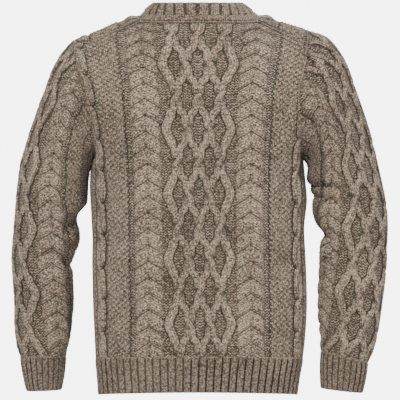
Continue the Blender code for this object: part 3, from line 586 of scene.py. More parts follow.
def ring(station, fractions, half):
    """Points of a sleeve's cross line. Fractions run 0 outside to 1 inside."""
    ox, oz, ix, iz, depth, forward = station
    centre = np.array([(ox + ix) / 2, forward, (oz + iz) / 2])
    main = np.array([(ox - ix) / 2, 0.0, (oz - iz) / 2])
    size = np.linalg.norm(main)
    main = main * (size - 0.0023) / size
    angle = np.linspace(0.0, np.pi, 91)
    c = np.sign(np.cos(angle)) * np.abs(np.cos(angle)) ** 0.94
    s = np.sin(angle) ** 0.94
    line = centre + c[:, None] * main + half * s[:, None] * np.array([0.0, depth - 0.002, 0.0])
    total = lengths(line)[-1]
    return along(line, line, fractions(total)), total


def sleeve_columns(total):
    """Where the twelve columns of half a sleeve lie round it."""
    near = np.arange(7) * 0.010
    return np.concatenate([near, near[-1] + (total - near[-1]) * np.arange(1, 7) / 6.0])


def sleeve_ground(side, hole, table, folds):
    """Ground points of a sleeve from the armhole line down to the cuff seam."""
    table = table.copy()
    table[:, [0, 2]] *= side
    top = int(np.argmax(hole[:, 2]))
    low = (int(np.argmin(hole[:, 2])) - top) % len(hole)
    turned = np.roll(hole, -top, axis=0)
    halves = [turned[: low + 1], np.vstack([turned[low:], turned[:1]])[::-1]]
    if np.mean(halves[0][:, 1]) > np.mean(halves[1][:, 1]):
        halves = halves[::-1]
    table[0, :4] = (turned[0, 0], turned[0, 2], turned[low, 0], turned[low, 2])
    fine = np.linspace(0.0, len(table) - 1.0, 400)
    path_run = lengths(glide(np.arange(len(table)), table[:, [0, 1]], fine))
    rows = []
    places = []
    for j in range(SLEEVE_ROWS + 1):
        q = np.interp(path_run[-1] * j / SLEEVE_ROWS, path_run, fine)
        station = glide(np.arange(len(table)), table, q)
        fade = ease(np.clip(1.0 - j / 9.0, 0.0, 1.0))
        sides = []
        spots = []
        for half, loop in ((-1, halves[0]), (1, halves[1])):
            points, total = ring(station, sleeve_columns, half)
            here = ring(table[0], sleeve_columns, half)[0]
            seam = along(loop, loop, sleeve_columns(lengths(loop)[-1]))
            if j == 0:
                points = seam
                total = lengths(loop)[-1]
            else:
                points = points + (seam - here) * fade
            sides.append(points)
            spots.append(sleeve_columns(total))
        rows.append(np.vstack([sides[0], sides[1][-2:0:-1]]))
        places.append(np.concatenate([spots[0], spots[1][-2:0:-1]]))
    grid = np.array(rows)
    down = np.zeros(grid.shape[:2])
    down[:-1] = np.cumsum(np.linalg.norm(np.diff(grid, axis=0), axis=2)[::-1], axis=0)[::-1]
    axis = np.mean(grid, axis=1, keepdims=True)
    grow = np.clip(np.arange(SLEEVE_ROWS + 1) / 3.0, 0.0, 1.0)[:, None]
    pull = fold_depth(grid, folds, axis[..., 1]) * grow
    grid = grid - normals(grid, True, grid - axis) * pull[..., None]
    return grid, np.stack([np.array(places), down], axis=2)


# %% [markdown]
# Now the grids are laid out. Two pieces that meet at a seam get one shared direction there,
# so their edges stand even. Each sleeve starts from the line that the armhole leaves in the
# back and the front, as a knitter sews it in.

# %% Lay out the body and the sleeves
back, back_place = panel(-1)
front, front_place = panel(1)
back_n = normals(back, False, back * LEVEL)
front_n = normals(front, False, front * LEVEL)
for column, way in ((0, -1.0), (-1, 1.0)):
    for n in (back_n, front_n):
        n[: UNDERARM_ROW + 1, column] = (way, 0.0, 0.0)
on_seam = [i for i in range(back.shape[1]) if abs(i - middle) >= NECK_COLUMN]
shared = unit(back_n[-1][on_seam] + front_n[-1][on_seam])
back_n[-1][on_seam] = shared
front_n[-1][on_seam] = shared
sleeves = []
armholes = []
for side, table, folds in ((-1, SLEEVE_LEFT, ELBOW_LEFT), (1, SLEEVE_RIGHT, ELBOW_RIGHT)):
    column = 0 if side < 0 else -1
    up = back[UNDERARM_ROW:, column]
    hole = np.vstack([up, front[UNDERARM_ROW:, column][::-1][1:-1]])
    grid, place = sleeve_ground(side, hole, table, folds)
    n = normals(grid, True, grid - np.mean(grid, axis=1, keepdims=True))
    hole_n = np.vstack([back_n[UNDERARM_ROW:, column], front_n[UNDERARM_ROW:, column][::-1][1:-1]])
    n[0] = unit(n[0] + unit(nearest_on(grid[0], hole, hole_n)))
    both = nearest_on(hole, grid[0], n[0])
    back_n[UNDERARM_ROW:, column] = both[: len(up)]
    around = [both[:1], both[len(up):][::-1], both[len(up) - 1:len(up)]]
    front_n[UNDERARM_ROW:, column] = np.vstack(around)
    sleeves.append((grid, place, n))
    armholes.append((hole, both))
print("back grid", back.shape, "sleeve grid", sleeves[0][0].shape)

# %% [markdown]
# The photograph shows a lattice of six strands in the middle of each body piece, a double
# twisted rope at each side of it, a moss panel, and a small cable near the side seam, all
# on a purl ground. Each strand is two stitches wide. For a place on the cloth, every strand
# gives its height, its stitch count across, its row count along and its painted shade. The
# highest strand is the one that is seen. Image textures could fake this, but then the
# crossings would be flat.

# %% Heights and stitch counts of the knitting
PLAIN, CABLE, MOSS, ROPE, PURL = 0.0, 0.12, 0.25, 0.5, 1.0  # kinds, as the map stores them
LATTICE = 0.0368  # width of one oval and its strands
PAIR_HALF = 0.0047  # strands of a pair lie this far from the pair's middle
STRAND_HIGH = 0.0054
ROPE_MID = 0.0905  # middle of a rope, from the middle wale
ROPE_PERIOD = KNIT_REPEAT / 4.0
ROPE_LEAN = 0.040  # the grooves of a rope climb one period in this width
ROPE_HIGH = 0.0058
SIDE_CABLE = 0.1915
SIDE_CABLE_HIGH = 0.0040
MOSS_FROM, MOSS_TO, MOSS_AGAIN = 0.1265, 0.1765, 0.2105
MOSS_HIGH, MOSS_TURN = 0.0015, 0.0013
MOSS_EDGE = 0.0020  # the height of moss starts this far outside its border
MOSS_RAMP = 0.0045
SLEEVE_TURN = (0.012, 0.053)  # the lattice lies this far to the back, left and right


def hump(distance, half, power=0.6):
    """Rounded section of a strand, one in its middle and nought at its edge."""
    return np.clip(1.0 - (distance / half) ** 2, 0.0, 1.0) ** power


def lattice_strands(u, v):
    """Six strands that pair up, cross and part, so that ovals of purl show between them."""
    h = LATTICE / 2.0
    p = (v - KNIT_START) / (KNIT_REPEAT / 2.0)
    found = []
    for k in range(6):
        q = np.mod(p - 1.0 + 2.0 * k, 12.0)
        goes_right = q < 6.0
        w = np.where(goes_right, q, 12.0 - q)
        n = np.clip(np.round(w), 1, 5)
        x = np.clip(w - n, -0.5, 0.5)
        part = ease(np.clip((np.abs(x) - 0.35) / 0.15, 0.0, 1.0))
        close = PAIR_HALF * np.tanh(np.abs(x) / 0.11)
        mid = h * (n - 3.0) + np.sign(x) * (close * (1.0 - part) + 0.5 * h * part)
        # The outermost strands turn back at the edge of the lattice.
        for outer, way, rest in ((w < 0.5, -1.0, w), (w > 5.5, 1.0, 6.0 - w)):
            turned = 3.0 - 0.5 * np.sin(np.pi * np.clip(rest, 0, 0.5)) ** 2
            mid = np.where(outer, h * way * turned, mid)
        odd = np.mod(np.round(q), 2) == 1
        over = np.where(odd, goes_right, ~goes_right)
        wide = 0.0059 + 0.0029 * part
        sink = np.where(over, -0.16, 0.50) * bell(x, 0.10) + 0.12 * part
        high = STRAND_HIGH * (1.0 - sink)
        off = u - mid
        # Painted shade on the strand that goes under, near each crossing.
        dark = np.where(over, 0.0, 0.85 * bell(x, 0.21))
        found.append((high * hump(off, wide, 0.5), off / wide, v / STITCH_HIGH, CABLE, dark))
    return found


def rope_strands(u, v):
    """Two mirrored twists side by side, which look like a stack of arrow heads."""
    d = np.abs(np.abs(u) - ROPE_MID)
    bend = -0.03 * np.sin(2 * np.pi * d / 0.024)
    phase = (v + 0.0012) / ROPE_PERIOD + d / ROPE_LEAN - bend
    twist = np.abs(np.sin(np.pi * phase)) ** 0.5
    body = hump(d - 0.0122, 0.0110 + 0.0022 * twist, 0.5)
    high = ROPE_HIGH * body * (0.22 + 0.78 * twist)
    # Painted shade in the groove between the two twists, where the twist sinks.
    dark = 0.9 * bell(d, 0.0040) * (1.0 - twist)
    return [(high, 3.0 * phase, (0.78 * v - 0.50 * d) / STITCH_HIGH, ROPE, dark)]


def side_cable_strands(u, v):
    """Two strands that cross every half repeat near the side seams."""
    x = np.abs(u) - SIDE_CABLE
    turn = np.pi * (v - 0.0415) / (KNIT_REPEAT / 2.0)
    swing = STITCH * np.tanh(2.2 * np.sin(turn))
    half = 1.08 * STITCH
    found = []
    for way in (-1.0, 1.0):
        off = x - way * swing
        high = SIDE_CABLE_HIGH * (1.0 + way * 0.10 * np.cos(turn)) * hump(off, half)
        # Painted shade on the strand that lies under the other one.
        dark = np.clip(-way * np.cos(turn), 0.0, 1.0) ** 4
        found.append((high, off / half, v / STITCH_HIGH, CABLE, dark))
    return found


def ground_stitches(u, v):
    """Purl ground, and moss panels of knit and purl stitches in turn."""
    a = np.abs(u)
    across = a / STITCH
    up = v / STITCH_HIGH
    turns = np.cos(np.pi * across) * np.cos(np.pi * up)
    jog = 0.0021 * np.mod(np.floor(up), 2.0)
    is_moss = ((a > MOSS_FROM + jog) & (a < MOSS_TO - jog)) | (a > MOSS_AGAIN)
    inside = np.minimum(a - MOSS_FROM, MOSS_TO - a) + MOSS_EDGE
    ramp = np.clip(np.maximum(inside, a - MOSS_AGAIN) / MOSS_RAMP, 0.0, 1.0)
    moss = np.where(is_moss, ramp * (MOSS_HIGH + MOSS_TURN * turns), -1.0)
    purl = np.where(is_moss, -1.0, 0.0)
    none = np.zeros_like(a)
    return [(moss, across + 0.5, up, MOSS, none), (purl, across, up, PURL, none)]


def knitting(u, v, side_cable=True):
    """All strands at the places (u, v), stacked: heights, counts across and along, kinds, painted shade.
    """
    found = ground_stitches(u, v) + lattice_strands(u, v) + rope_strands(u, v)
    if side_cable:
        found += side_cable_strands(u, v)
    high, across, up, kind, dark = zip(*found)
    return {
        "high": np.array(high) + 0.0002,
        "across": np.array(across),
        "along": np.array([np.broadcast_to(x, u.shape) for x in up]),
        "kind": np.array(kind),
        "dark": np.array(dark),
    }


sample = knitting(*np.meshgrid(np.linspace(0.0, 0.05, 99), np.linspace(0.0, REPEAT, 99)))
print("tallest crossing in mm:", round(1000 * float(sample["high"].max()), 1))

# %% [markdown]
# The coarse grids are now read again at a finer spacing of about 2 mm, which is three
# points to a stitch. A subdivision modifier would do this too, but it shrinks edges, and
# the seams have to stay put. The inside keeps the coarse points, as the real inside is
# plainer. The outer edge and the inner edge are closed with a rim of small faces.

# %% Finer cloth
# Cloth that stands lower than this over the ground gets painted shade.
HOLLOW = 0.0044  # cloth that stands this high over the ground isn't in a hollow


def in_scene(name, data):
    """New object of the scene."""
    obj = bpy.data.objects.new(name, data)
    bpy.context.scene.collection.objects.link(obj)
    return obj


def stops(steps):
    """Places between coarse lines, counted in lines, and the index of each line."""
    at = [0.0]
    marks = [0]
    for k, count in enumerate(steps):
        at.extend(k + (np.arange(count) + 1.0) / count)
        marks.append(len(at) - 1)
    return np.array(at), marks


def straight(values, at):
    """Values between lines on straight runs."""
    k = np.clip(at.astype(int), 0, len(values) - 2)
    t = (at - k)[:, None]
    return values[k] * (1.0 - t) + values[k + 1] * t


def finer(grid, rows_at, cols_at, closed=False, smooth=True):
    """A grid read at finer rows and columns."""
    if grid.ndim == 2:
        grid = grid[..., None]
    if closed:
        grid = np.concatenate([grid[:, -3:], grid, grid[:, :4]], axis=1)
        cols_at = cols_at + 3
    size = grid.shape[2]

    def read(values, at):
        return glide(np.arange(len(values)), values, at) if smooth else straight(values, at)

    half = read(grid.reshape(len(grid), -1), rows_at).reshape(len(rows_at), -1, size)
    turned = half.transpose(1, 0, 2)
    full = read(turned.reshape(len(turned), -1), cols_at).reshape(len(cols_at), len(rows_at), size)
    full = full.transpose(1, 0, 2)
    return full[..., 0] if size == 1 else full


def rim(fine, coarse, marks):
    """Small faces between a fine edge and a coarse one."""
    faces = []
    for k in range(len(marks) - 1):
        lo, hi = marks[k], marks[k + 1]
        mid = (lo + hi) // 2
        for j in range(lo, hi):
            faces.append((fine[j], fine[j + 1], coarse[k] if j < mid else coarse[k + 1]))
        faces.append((fine[mid], coarse[k], coarse[k + 1]))
    return faces


def quads(index):
    """Faces between the points of a numbered grid."""
    corners = [index[:-1, :-1], index[:-1, 1:], index[1:, 1:], index[1:, :-1]]
    return np.stack(corners, axis=2).reshape(-1, 4).tolist()


def tail_counts(tail, closed, mid_x):
    """Stitch counts for the inside, which shows the back of the stitches."""
    if closed:
        across = 8.0 * np.arctan2(tail[:, 1], tail[:, 0] - mid_x)
    else:
        across = tail[:, 0] / STITCH
    return across, tail[:, 2] / STITCH_HIGH


def shell(name, ground, n, inner, strands, closed, row_marks, col_marks, soft=1.0):
    """Closed thin cloth between a fine outside and a plain inside, with its stitch counts and its painted
    shade.
    """
    rows, cols = ground.shape[:2]
    wide = cols + 1 if closed else cols
    high = np.max(strands["high"], axis=0)[:, :cols] * soft
    outside = ground + n * high[..., None]
    index = np.arange(rows * cols).reshape(rows, cols)
    inside = rows * cols + np.arange(inner.shape[0] * inner.shape[1]).reshape(inner.shape[:2])
    if closed:
        index, inside, lift = [np.concatenate([x, x[:, :1]], axis=1) for x in (index, inside, high)]
    else:
        lift = high
    edge = rim(index[0], inside[0], col_marks) + rim(index[-1], inside[-1], col_marks)
    if not closed:
        edge += rim(index[:, 0], inside[:, 0], row_marks)
        edge += rim(index[:, -1], inside[:, -1], row_marks)
    mesh = bpy.data.meshes.new(name)
    points = np.concatenate([outside.reshape(-1, 3), inner.reshape(-1, 3)])
    mesh.from_pydata(points.tolist(), [], quads(index) + quads(inside) + edge)
    # The strand on top at a face gives the counts at its four corners.
    tall = strands["high"]
    centre = tall[:, :-1, :-1] + tall[:, :-1, 1:] + tall[:, 1:, 1:] + tall[:, 1:, :-1]
    top = np.argmax(centre, axis=0)
    r, c = np.meshgrid(np.arange(rows - 1), np.arange(wide - 1), indexing="ij")
    corners = [(r, c), (r, c + 1), (r + 1, c + 1), (r + 1, c)]

    def at_corners(layers):
        return np.stack([layers[top, i, j] for i, j in corners], axis=2).reshape(-1)

    kind = np.repeat(strands["kind"][top].reshape(-1), 4)
    # Painted shade: the strands' dark layers, and more where the cloth stands low between the strands, go
    # to the ground map.
    painted_shade = 1.5 * at_corners(strands["dark"])
    if "ribs" not in strands:
        low = [1.0 - np.clip(lift[i, j] / HOLLOW, 0.0, 1.0) for i, j in corners]
        painted_shade = np.maximum(painted_shade, np.stack(low, axis=2).reshape(-1))
    ids = np.zeros(len(mesh.loops), int)
    mesh.loops.foreach_get("vertex_index", ids)
    tail_across, tail_along = tail_counts(points[ids[len(kind):]], closed, np.mean(points[:, 0]))
    spare = np.ones(len(tail_across))
    across, along_yarn = at_corners(strands["across"]), at_corners(strands["along"])
    maps = (
        ("stitch", (across, tail_across), (along_yarn, tail_along)),
        ("ground", (kind, spare), (painted_shade, spare)),
    )
    for label, first, second in maps:
        layer = mesh.uv_layers.new(name=label)
        values = np.stack([np.concatenate(first), np.concatenate(second)], axis=1)
        layer.data.foreach_set("uv", values.astype(np.float32).reshape(-1))
    work = bmesh.new()
    work.from_mesh(mesh)
    bmesh.ops.recalc_face_normals(work, faces=work.faces)
    if work.calc_volume(signed=True) < 0:
        bmesh.ops.reverse_faces(work, faces=work.faces)
    work.to_mesh(mesh)
    work.free()
    mesh.shade_smooth()
    triangles = sum(len(p.vertices) - 2 for p in mesh.polygons)
    print(name, "triangles", triangles, "tallest stitch mm", round(float(high.max()) * 1000, 1))
    return in_scene(name, mesh)


def into_piece(line, inner_line):
    """Directions from a seam line into a piece, square to the seam."""
    tangent = unit(np.gradient(line, axis=0))
    into = inner_line - line
    return unit(into - np.sum(into * tangent, axis=1, keepdims=True) * tangent)


def pull_back(grid, closed, first=SEAM, top=True):
    """Edge points a little in from the seam lines."""
    moved = grid.copy()
    moved[0] += first * into_piece(grid[0], grid[1])
    if top:
        moved[-1] += SEAM * into_piece(grid[-1], grid[-2])
    if not closed:
        moved[:, 0] += SEAM * into_piece(grid[:, 0], grid[:, 1])
        moved[:, -1] += SEAM * into_piece(grid[:, -1], grid[:, -2])
    return moved


print("two coarse steps read finer:", stops([2, 3])[0].round(2).tolist())

# %% [markdown]
# Wool, stitches and seams are made of nodes. These tools put in a node with its settings
# and its inputs in one call, where each node would else take four or five lines.

# %% Node tools


def join(tree, node, inputs):
    """Join the inputs of a node to sockets, or set them to values."""
    for label, value in dict(inputs).items():
        if isinstance(value, bpy.types.NodeSocket):
            tree.links.new(value, node.inputs[label])
        else:
            node.inputs[label].default_value = value
    return node


def put(tree, kind, inputs=(), **settings):
    """Node with its settings and its inputs."""
    node = tree.nodes.new(kind)
    for name, value in settings.items():
        setattr(node, name, value)
    return join(tree, node, inputs)


def sockets(tree, inputs, outputs):
    """Named sockets of a group. Gives what goes in, and the node that it leaves by."""
    new = tree.interface.new_socket
    for label, kind, value in inputs:
        socket = new(name=label, in_out="INPUT", socket_type="NodeSocket" + kind)
        if value is not None:
            socket.default_value = value
    for label, kind in outputs:
        new(name=label, in_out="OUTPUT", socket_type="NodeSocket" + kind)
    return tree.nodes.new("NodeGroupInput").outputs, tree.nodes.new("NodeGroupOutput")


def calc(tree, operation, *values):
    """Result of a math node on sockets or numbers."""
    return put(tree, "ShaderNodeMath", enumerate(values), operation=operation).outputs[0]


def noise(tree, vector, scale, detail, rough=0.55):
    """Noise value at a scale."""
    inputs = {"Scale": scale, "Detail": detail, "Roughness": rough, "Vector": vector}
    return put(tree, "ShaderNodeTexNoise", inputs).outputs[0]


def toned(tree, tone, *pairs):
    """Colour that belongs to a tone, from places and colours."""
    ramp = put(tree, "ShaderNodeValToRGB", {"Fac": tone})
    elements = ramp.color_ramp.elements
    while len(elements) < len(pairs):
        elements.new(0.5)
    for element, (at, colour) in zip(elements, pairs):
        element.position = at
        element.color = (*colour, 1.0)
    return ramp.outputs["Color"]


# %% [markdown]
# Wool of this kind is heathered: brown, grey and cream fibres are spun into one yarn. A
# group makes the relief of one stitch, two leaning legs for a knit stitch and a wavy ridge
# for a purl stitch. Another group mixes the fibres. Both give out only values, and the
# shader stays in each material, so a body piece and a rib can use their own strengths.

# %% Relief of one stitch
relief = bpy.data.node_groups.new("knit_stitch", "ShaderNodeTree")
start, end = sockets(
    relief,
    [*[(label, "Float", 0.0) for label in ("Across", "Along", "Purl")], ("Lean", "Float", 0.75)],
    [("Height", "Float"), ("Gap", "Float")],
)
cell = calc(relief, "FRACT", start["Across"])
from_middle = calc(relief, "ABSOLUTE", calc(relief, "MULTIPLY_ADD", cell, 2.0, -1.0))
lean = calc(relief, "MULTIPLY", from_middle, start["Lean"])
step_up = calc(relief, "FRACT", calc(relief, "SUBTRACT", start["Along"], lean))
loop = calc(relief, "SINE", calc(relief, "MULTIPLY", step_up, np.pi))
loop = calc(relief, "POWER", calc(relief, "MAXIMUM", loop, 0.0), 0.55)
leg = calc(relief, "MULTIPLY_ADD", from_middle, 2.0, -1.0)
leg = calc(relief, "SUBTRACT", 1.0, calc(relief, "MULTIPLY", leg, leg))
leg = calc(relief, "POWER", calc(relief, "MAXIMUM", leg, 0.0), 0.5)
loop_share = {0: 0.72, 2: 1.0, 3: loop}
knit_height = calc(relief, "MULTIPLY", leg, put(relief, "ShaderNodeMix", loop_share).outputs[0])
wave = calc(relief, "SINE", calc(relief, "MULTIPLY", start["Across"], 2 * np.pi))
wavy_row = calc(relief, "FRACT", calc(relief, "MULTIPLY_ADD", wave, 0.24, start["Along"]))
ridge = calc(relief, "SINE", calc(relief, "MULTIPLY", wavy_row, np.pi))
purl_height = calc(relief, "POWER", calc(relief, "MAXIMUM", ridge, 0.0), 0.7)
height = put(relief, "ShaderNodeMix", {0: start["Purl"], 2: knit_height, 3: purl_height}).outputs[0]
gap = calc(relief, "POWER", calc(relief, "SUBTRACT", 1.0, height), 1.3)
join(relief, end, {"Height": height, "Gap": gap})
print("group:", relief.name, "nodes", len(relief.nodes))

# %% [markdown]
# The yarn isn't one brown. Its tone changes from patch to patch, along the yarn, and from
# fibre to fibre, and single cream fibres show as flecks. A painted texture would show its
# pixels close up, so three noises of different size make the tone.

# %% Heathered fibres
heather = bpy.data.node_groups.new("heather", "ShaderNodeTree")
start, end = sockets(
    heather,
    [("Place", "Vector", None), ("Yarn", "Vector", None), ("Fleck Amount", "Float", 0.5)],
    [("Tone", "Float"), ("Fleck", "Float"), ("Fibre", "Float")],
)
soft_patch = noise(heather, start["Place"], 16.0, 2.0)
yarn_tone = noise(heather, start["Yarn"], 1.1, 3.0, 0.7)
fine_tone = noise(heather, start["Place"], 310.0, 1.0)
tone = calc(heather, "MULTIPLY_ADD", yarn_tone, 0.40, calc(heather, "MULTIPLY", soft_patch, 0.15))
tone = calc(heather, "MULTIPLY_ADD", fine_tone, 0.45, tone)
fleck = noise(heather, start["Place"], 400.0, 1.0)
fleck = calc(heather, "MULTIPLY", calc(heather, "SUBTRACT", fleck, 0.56), 7.0)
fleck = calc(heather, "MINIMUM", calc(heather, "MAXIMUM", fleck, 0.0), 1.0)
fleck = calc(heather, "MULTIPLY", fleck, start["Fleck Amount"])
stretch = put(heather, "ShaderNodeMapping", {"Scale": (7.0, 1.6, 1.0), "Vector": start["Yarn"]})
fibre = noise(heather, stretch.outputs[0], 3.0, 3.0, 0.65)
join(heather, end, {"Tone": tone, "Fleck": fleck, "Fibre": fibre})
print("group:", heather.name, "nodes", len(heather.nodes))

# %% [markdown]
# The wool material reads the stitch counts from the piece's own map, so its relief
# follows each strand round the crossings. Hollows between the cables are painted a little
# darker in the colour, as painted shade. A weak sheen gives the soft edge of wool.

# %% Wool material
DARK, MID, LIGHT = np.array([(0.120, 0.083, 0.055), (0.378, 0.270, 0.191), (0.745, 0.584, 0.444)])
STITCH_DEPTH, FIBRE_DEPTH, GROOVE_DEPTH = 0.0020, 0.00035, 0.0012  # relief in metres
# Painted shade: the share of colour taken away in grooves, on low moss stitches and on ropes.
GROOVE_SHADE, MOSS_SHADE, ROPE_SHADE = 0.50, 0.44, 0.07  # light that is lost there


def grooves(tree, across, along_yarn, kind):
    """Masks of rope, the grooves beside strands, and the low stitches of moss, which get painted shade.
    """
    is_cable, is_moss, is_rope = [calc(tree, "COMPARE", kind, x, 0.05) for x in (CABLE, MOSS, ROPE)]
    rope_at = calc(tree, "FRACT", calc(tree, "DIVIDE", across, 3.0))
    rope_edge = calc(tree, "ABSOLUTE", calc(tree, "MULTIPLY_ADD", rope_at, 2.0, -1.0))
    edge = calc(tree, "MULTIPLY", rope_edge, calc(tree, "MULTIPLY", is_rope, 0.90))
    edge = calc(tree, "MULTIPLY_ADD", calc(tree, "ABSOLUTE", across), is_cable, edge)
    groove = calc(tree, "SMOOTH_MAX", calc(tree, "MULTIPLY_ADD", edge, 3.3, -2.3), 0.0, 0.1)
    groove = calc(tree, "MINIMUM", groove, 1.0)
    turn = calc(tree, "COSINE", calc(tree, "MULTIPLY_ADD", across, np.pi, -0.5 * np.pi))
    turn_up = calc(tree, "COSINE", calc(tree, "MULTIPLY", along_yarn, np.pi))
    turn = calc(tree, "MULTIPLY", turn, turn_up)
    moss_low = calc(tree, "MULTIPLY", calc(tree, "MULTIPLY_ADD", turn, -0.5, 0.5), is_moss)
    plain = calc(tree, "SUBTRACT", 1.0, calc(tree, "ADD", is_cable, is_rope))
    return is_moss, is_rope, plain, groove, moss_low


def wool(name, dark, mid, light, fleck):
    """Knitted wool with its own colours. Its map gives stitch counts, kind and the painted shade of
    hollows.
    """
    mat = bpy.data.materials.new(name)
    mat.use_nodes = True
    tree = mat.node_tree
    place = put(tree, "ShaderNodeTexCoord").outputs["Object"]
    stitch_map = put(tree, "ShaderNodeUVMap", uv_map="stitch").outputs[0]
    kind_and_shade_map = put(tree, "ShaderNodeUVMap", uv_map="ground").outputs[0]
    across, along_yarn = put(tree, "ShaderNodeSeparateXYZ", {0: stitch_map}).outputs[:2]
    kind, painted_hollow_shade = put(tree, "ShaderNodeSeparateXYZ", {0: kind_and_shade_map}).outputs[:2]
    is_moss, is_rope, plain, groove, moss_low = grooves(tree, across, along_yarn, kind)
    # Hand spun yarn is uneven, so the counts wander a little.
    shift = calc(tree, "MULTIPLY_ADD", noise(tree, place, 60.0, 1.0), 0.36, -0.18)
    counts = {
        "Across": calc(tree, "ADD", across, shift),
        "Along": calc(tree, "ADD", along_yarn, shift),
        "Purl": calc(tree, "MULTIPLY", kind, plain),
        "Lean": 0.75,
    }
    stitch = put(tree, "ShaderNodeGroup", counts, node_tree=relief).outputs
    places = {"Fleck Amount": fleck, "Place": place, "Yarn": stitch_map}
    fibres = put(tree, "ShaderNodeGroup", places, node_tree=heather).outputs
    colour = toned(tree, fibres["Tone"], (0.42, dark), (0.5, mid), (0.59, light))
    cream = (*np.minimum(light * 1.5, 1.0), 1.0)
    mixed = {"Factor": fibres["Fleck"], "A": colour, "B": cream}
    flecked = put(tree, "ShaderNodeMix", mixed, data_type="RGBA").outputs["Result"]
    # Painted shade: the colour is darkened in the gaps of a stitch, in hollows, in grooves, on the low
    # stitches of moss and on the ropes.
    gap_shade = calc(tree, "MULTIPLY_ADD", calc(tree, "COMPARE", kind, PURL, 0.05), 0.75, 1.0)
    dim = calc(tree, "MULTIPLY", stitch["Gap"], gap_shade)
    hollow_shade = calc(tree, "MULTIPLY_ADD", is_moss, -0.30, 0.42)
    dim = calc(tree, "MULTIPLY_ADD", calc(tree, "POWER", painted_hollow_shade, 1.3), hollow_shade, dim)
    for mask, amount in ((groove, GROOVE_SHADE), (moss_low, MOSS_SHADE), (is_rope, ROPE_SHADE)):
        dim = calc(tree, "MULTIPLY_ADD", mask, amount, dim)
    keep = calc(tree, "MAXIMUM", calc(tree, "SUBTRACT", 1.08, dim), 0.10)
    kept = {"Factor": 1.0, "A": flecked, "B": keep}
    shaded = put(tree, "ShaderNodeMix", kept, data_type="RGBA", blend_type="MULTIPLY")
    total = calc(tree, "MULTIPLY", stitch["Height"], STITCH_DEPTH)
    total = calc(tree, "MULTIPLY_ADD", fibres["Fibre"], FIBRE_DEPTH, total)
    total = calc(tree, "MULTIPLY_ADD", groove, -GROOVE_DEPTH, total)
    bump = put(tree, "ShaderNodeBump", {"Strength": 1.0, "Distance": 1.0, "Height": total})
    join(tree, tree.nodes["Principled BSDF"], {
        "Base Color": shaded.outputs["Result"],
        "Roughness": calc(tree, "MULTIPLY_ADD", fibres["Fibre"], 0.16, 0.80),
        "Metallic": 0.0,
        "Specular IOR Level": 0.18,
        "Sheen Weight": 0.22,
        "Sheen Roughness": 0.55,
        "Sheen Tint": (0.95, 0.88, 0.78, 1.0),
        "Normal": bump.outputs[0],
    })
    mat.diffuse_color = (*mid, 1.0)
    return mat


body_wool = wool("body_wool", DARK, MID, LIGHT, 0.8)
sleeve_wool = wool("sleeve_wool", DARK, 0.93 * MID, 0.94 * LIGHT, 0.8)
rib_wool = wool("rib_wool", 0.84 * DARK, 0.72 * MID, 0.70 * LIGHT, 0.45)
print("wool nodes:", len(body_wool.node_tree.nodes))

# %% [markdown]
# Back and front come next. The grid is read nine times finer up the cloth, and the
# columns of the lattice get four to six steps each. The edges that meet a seam are knitted
# flatter, as seam allowances are. The folds pull the cloth in before the stitches rise.

# %% Back and front
row_at, row_marks = stops([9] * (LOW_ROWS + TOP_ROWS))
half_steps = [max(3, round(width / FINE_STEP)) for width in np.diff(COLUMNS)]
col_at, col_marks = stops(half_steps[::-1] + half_steps)
off_edge = np.minimum(col_at, col_at[-1] - col_at)
ROPES_AT_SEAM = (slice(middle - 11, middle - 6), slice(middle + 7, middle + 12))


def seam_shade():
    """Shade where the cloth of a body piece turns in at its seams."""
    ends = np.maximum(1.45 * bell(row_at[-1] - row_at, 0.36), 0.55 * bell(row_at, 0.20))
    return np.maximum(ends[:, None], 0.90 * bell(off_edge, 0.12))


def from_ends(count):
    """Steps from the nearer end of a row of points."""
    return np.minimum(np.arange(count), np.arange(count)[::-1])


def body_piece(name, grid, n, place, folds):
    """A body panel with its relief, its folds and its painted shade."""
    soft = np.ones(grid.shape[:2])
    soft[0] = 0.4
    soft[-1] = 0.1
    soft[:, [0, -1]] = 0.4
    soft[UNDERARM_ROW:, [1, -2]] = 0.7
    for ropes in ROPES_AT_SEAM:
        soft[-3:-1, ropes] = 0.5
    ground = pull_back(grid, False)
    fine = finer(ground, row_at, col_at)
    fine_n = unit(finer(n, row_at, col_at, smooth=False))
    fade = np.clip(from_ends(len(grid)) / 3.0, 0.0, 1.0)[:, None]
    fade = fade * np.clip(from_ends(grid.shape[1]) / 2.0, 0.0, 1.0)
    calm = finer(fade, row_at, col_at, smooth=False)
    middle_y = 9.0 if np.mean(grid[..., 1]) < 0 else -9.0
    depth = fold_depth(fine, folds, middle_y) * calm
    fine = fine - fine_n * depth[..., None]
    places = finer(place, row_at, col_at, smooth=False)
    strands = knitting(places[..., 0], places[..., 1])
    # Painted shadow under the arm, and painted shade along the seams.
    painted_underarm_shadow = 0.6 * bell(off_edge, 0.35) * bell(fine[..., 2] + 0.19, 0.060)
    strands["dark"] = np.maximum(strands["dark"], np.maximum(seam_shade(), painted_underarm_shadow))
    inner = ground - n * (WALL + depth[row_marks][:, col_marks])[..., None]
    soft = finer(soft, row_at, col_at, smooth=False)
    piece = shell(name, fine, fine_n, inner, strands, False, row_marks, col_marks, soft)
    piece.data.materials.append(body_wool)
    return piece, fine, fine_n


made = body_piece("knitted_back", back, back_n, back_place, BACK_FOLDS)
back_piece, back_fine, back_fine_n = made
made = body_piece("knitted_front", front, front_n, front_place, FRONT_FOLDS)
front_piece, front_fine, front_fine_n = made

# %% [markdown]
# The sleeves are knitted as the body is, with the lattice in the middle and the ropes beside
# it, and are closed to a tube. The photograph shows the lattice of the right sleeve turned to
# the back, because the arm turns in its armhole. So the counts start further round there,
# which is simpler than to twist the tube.

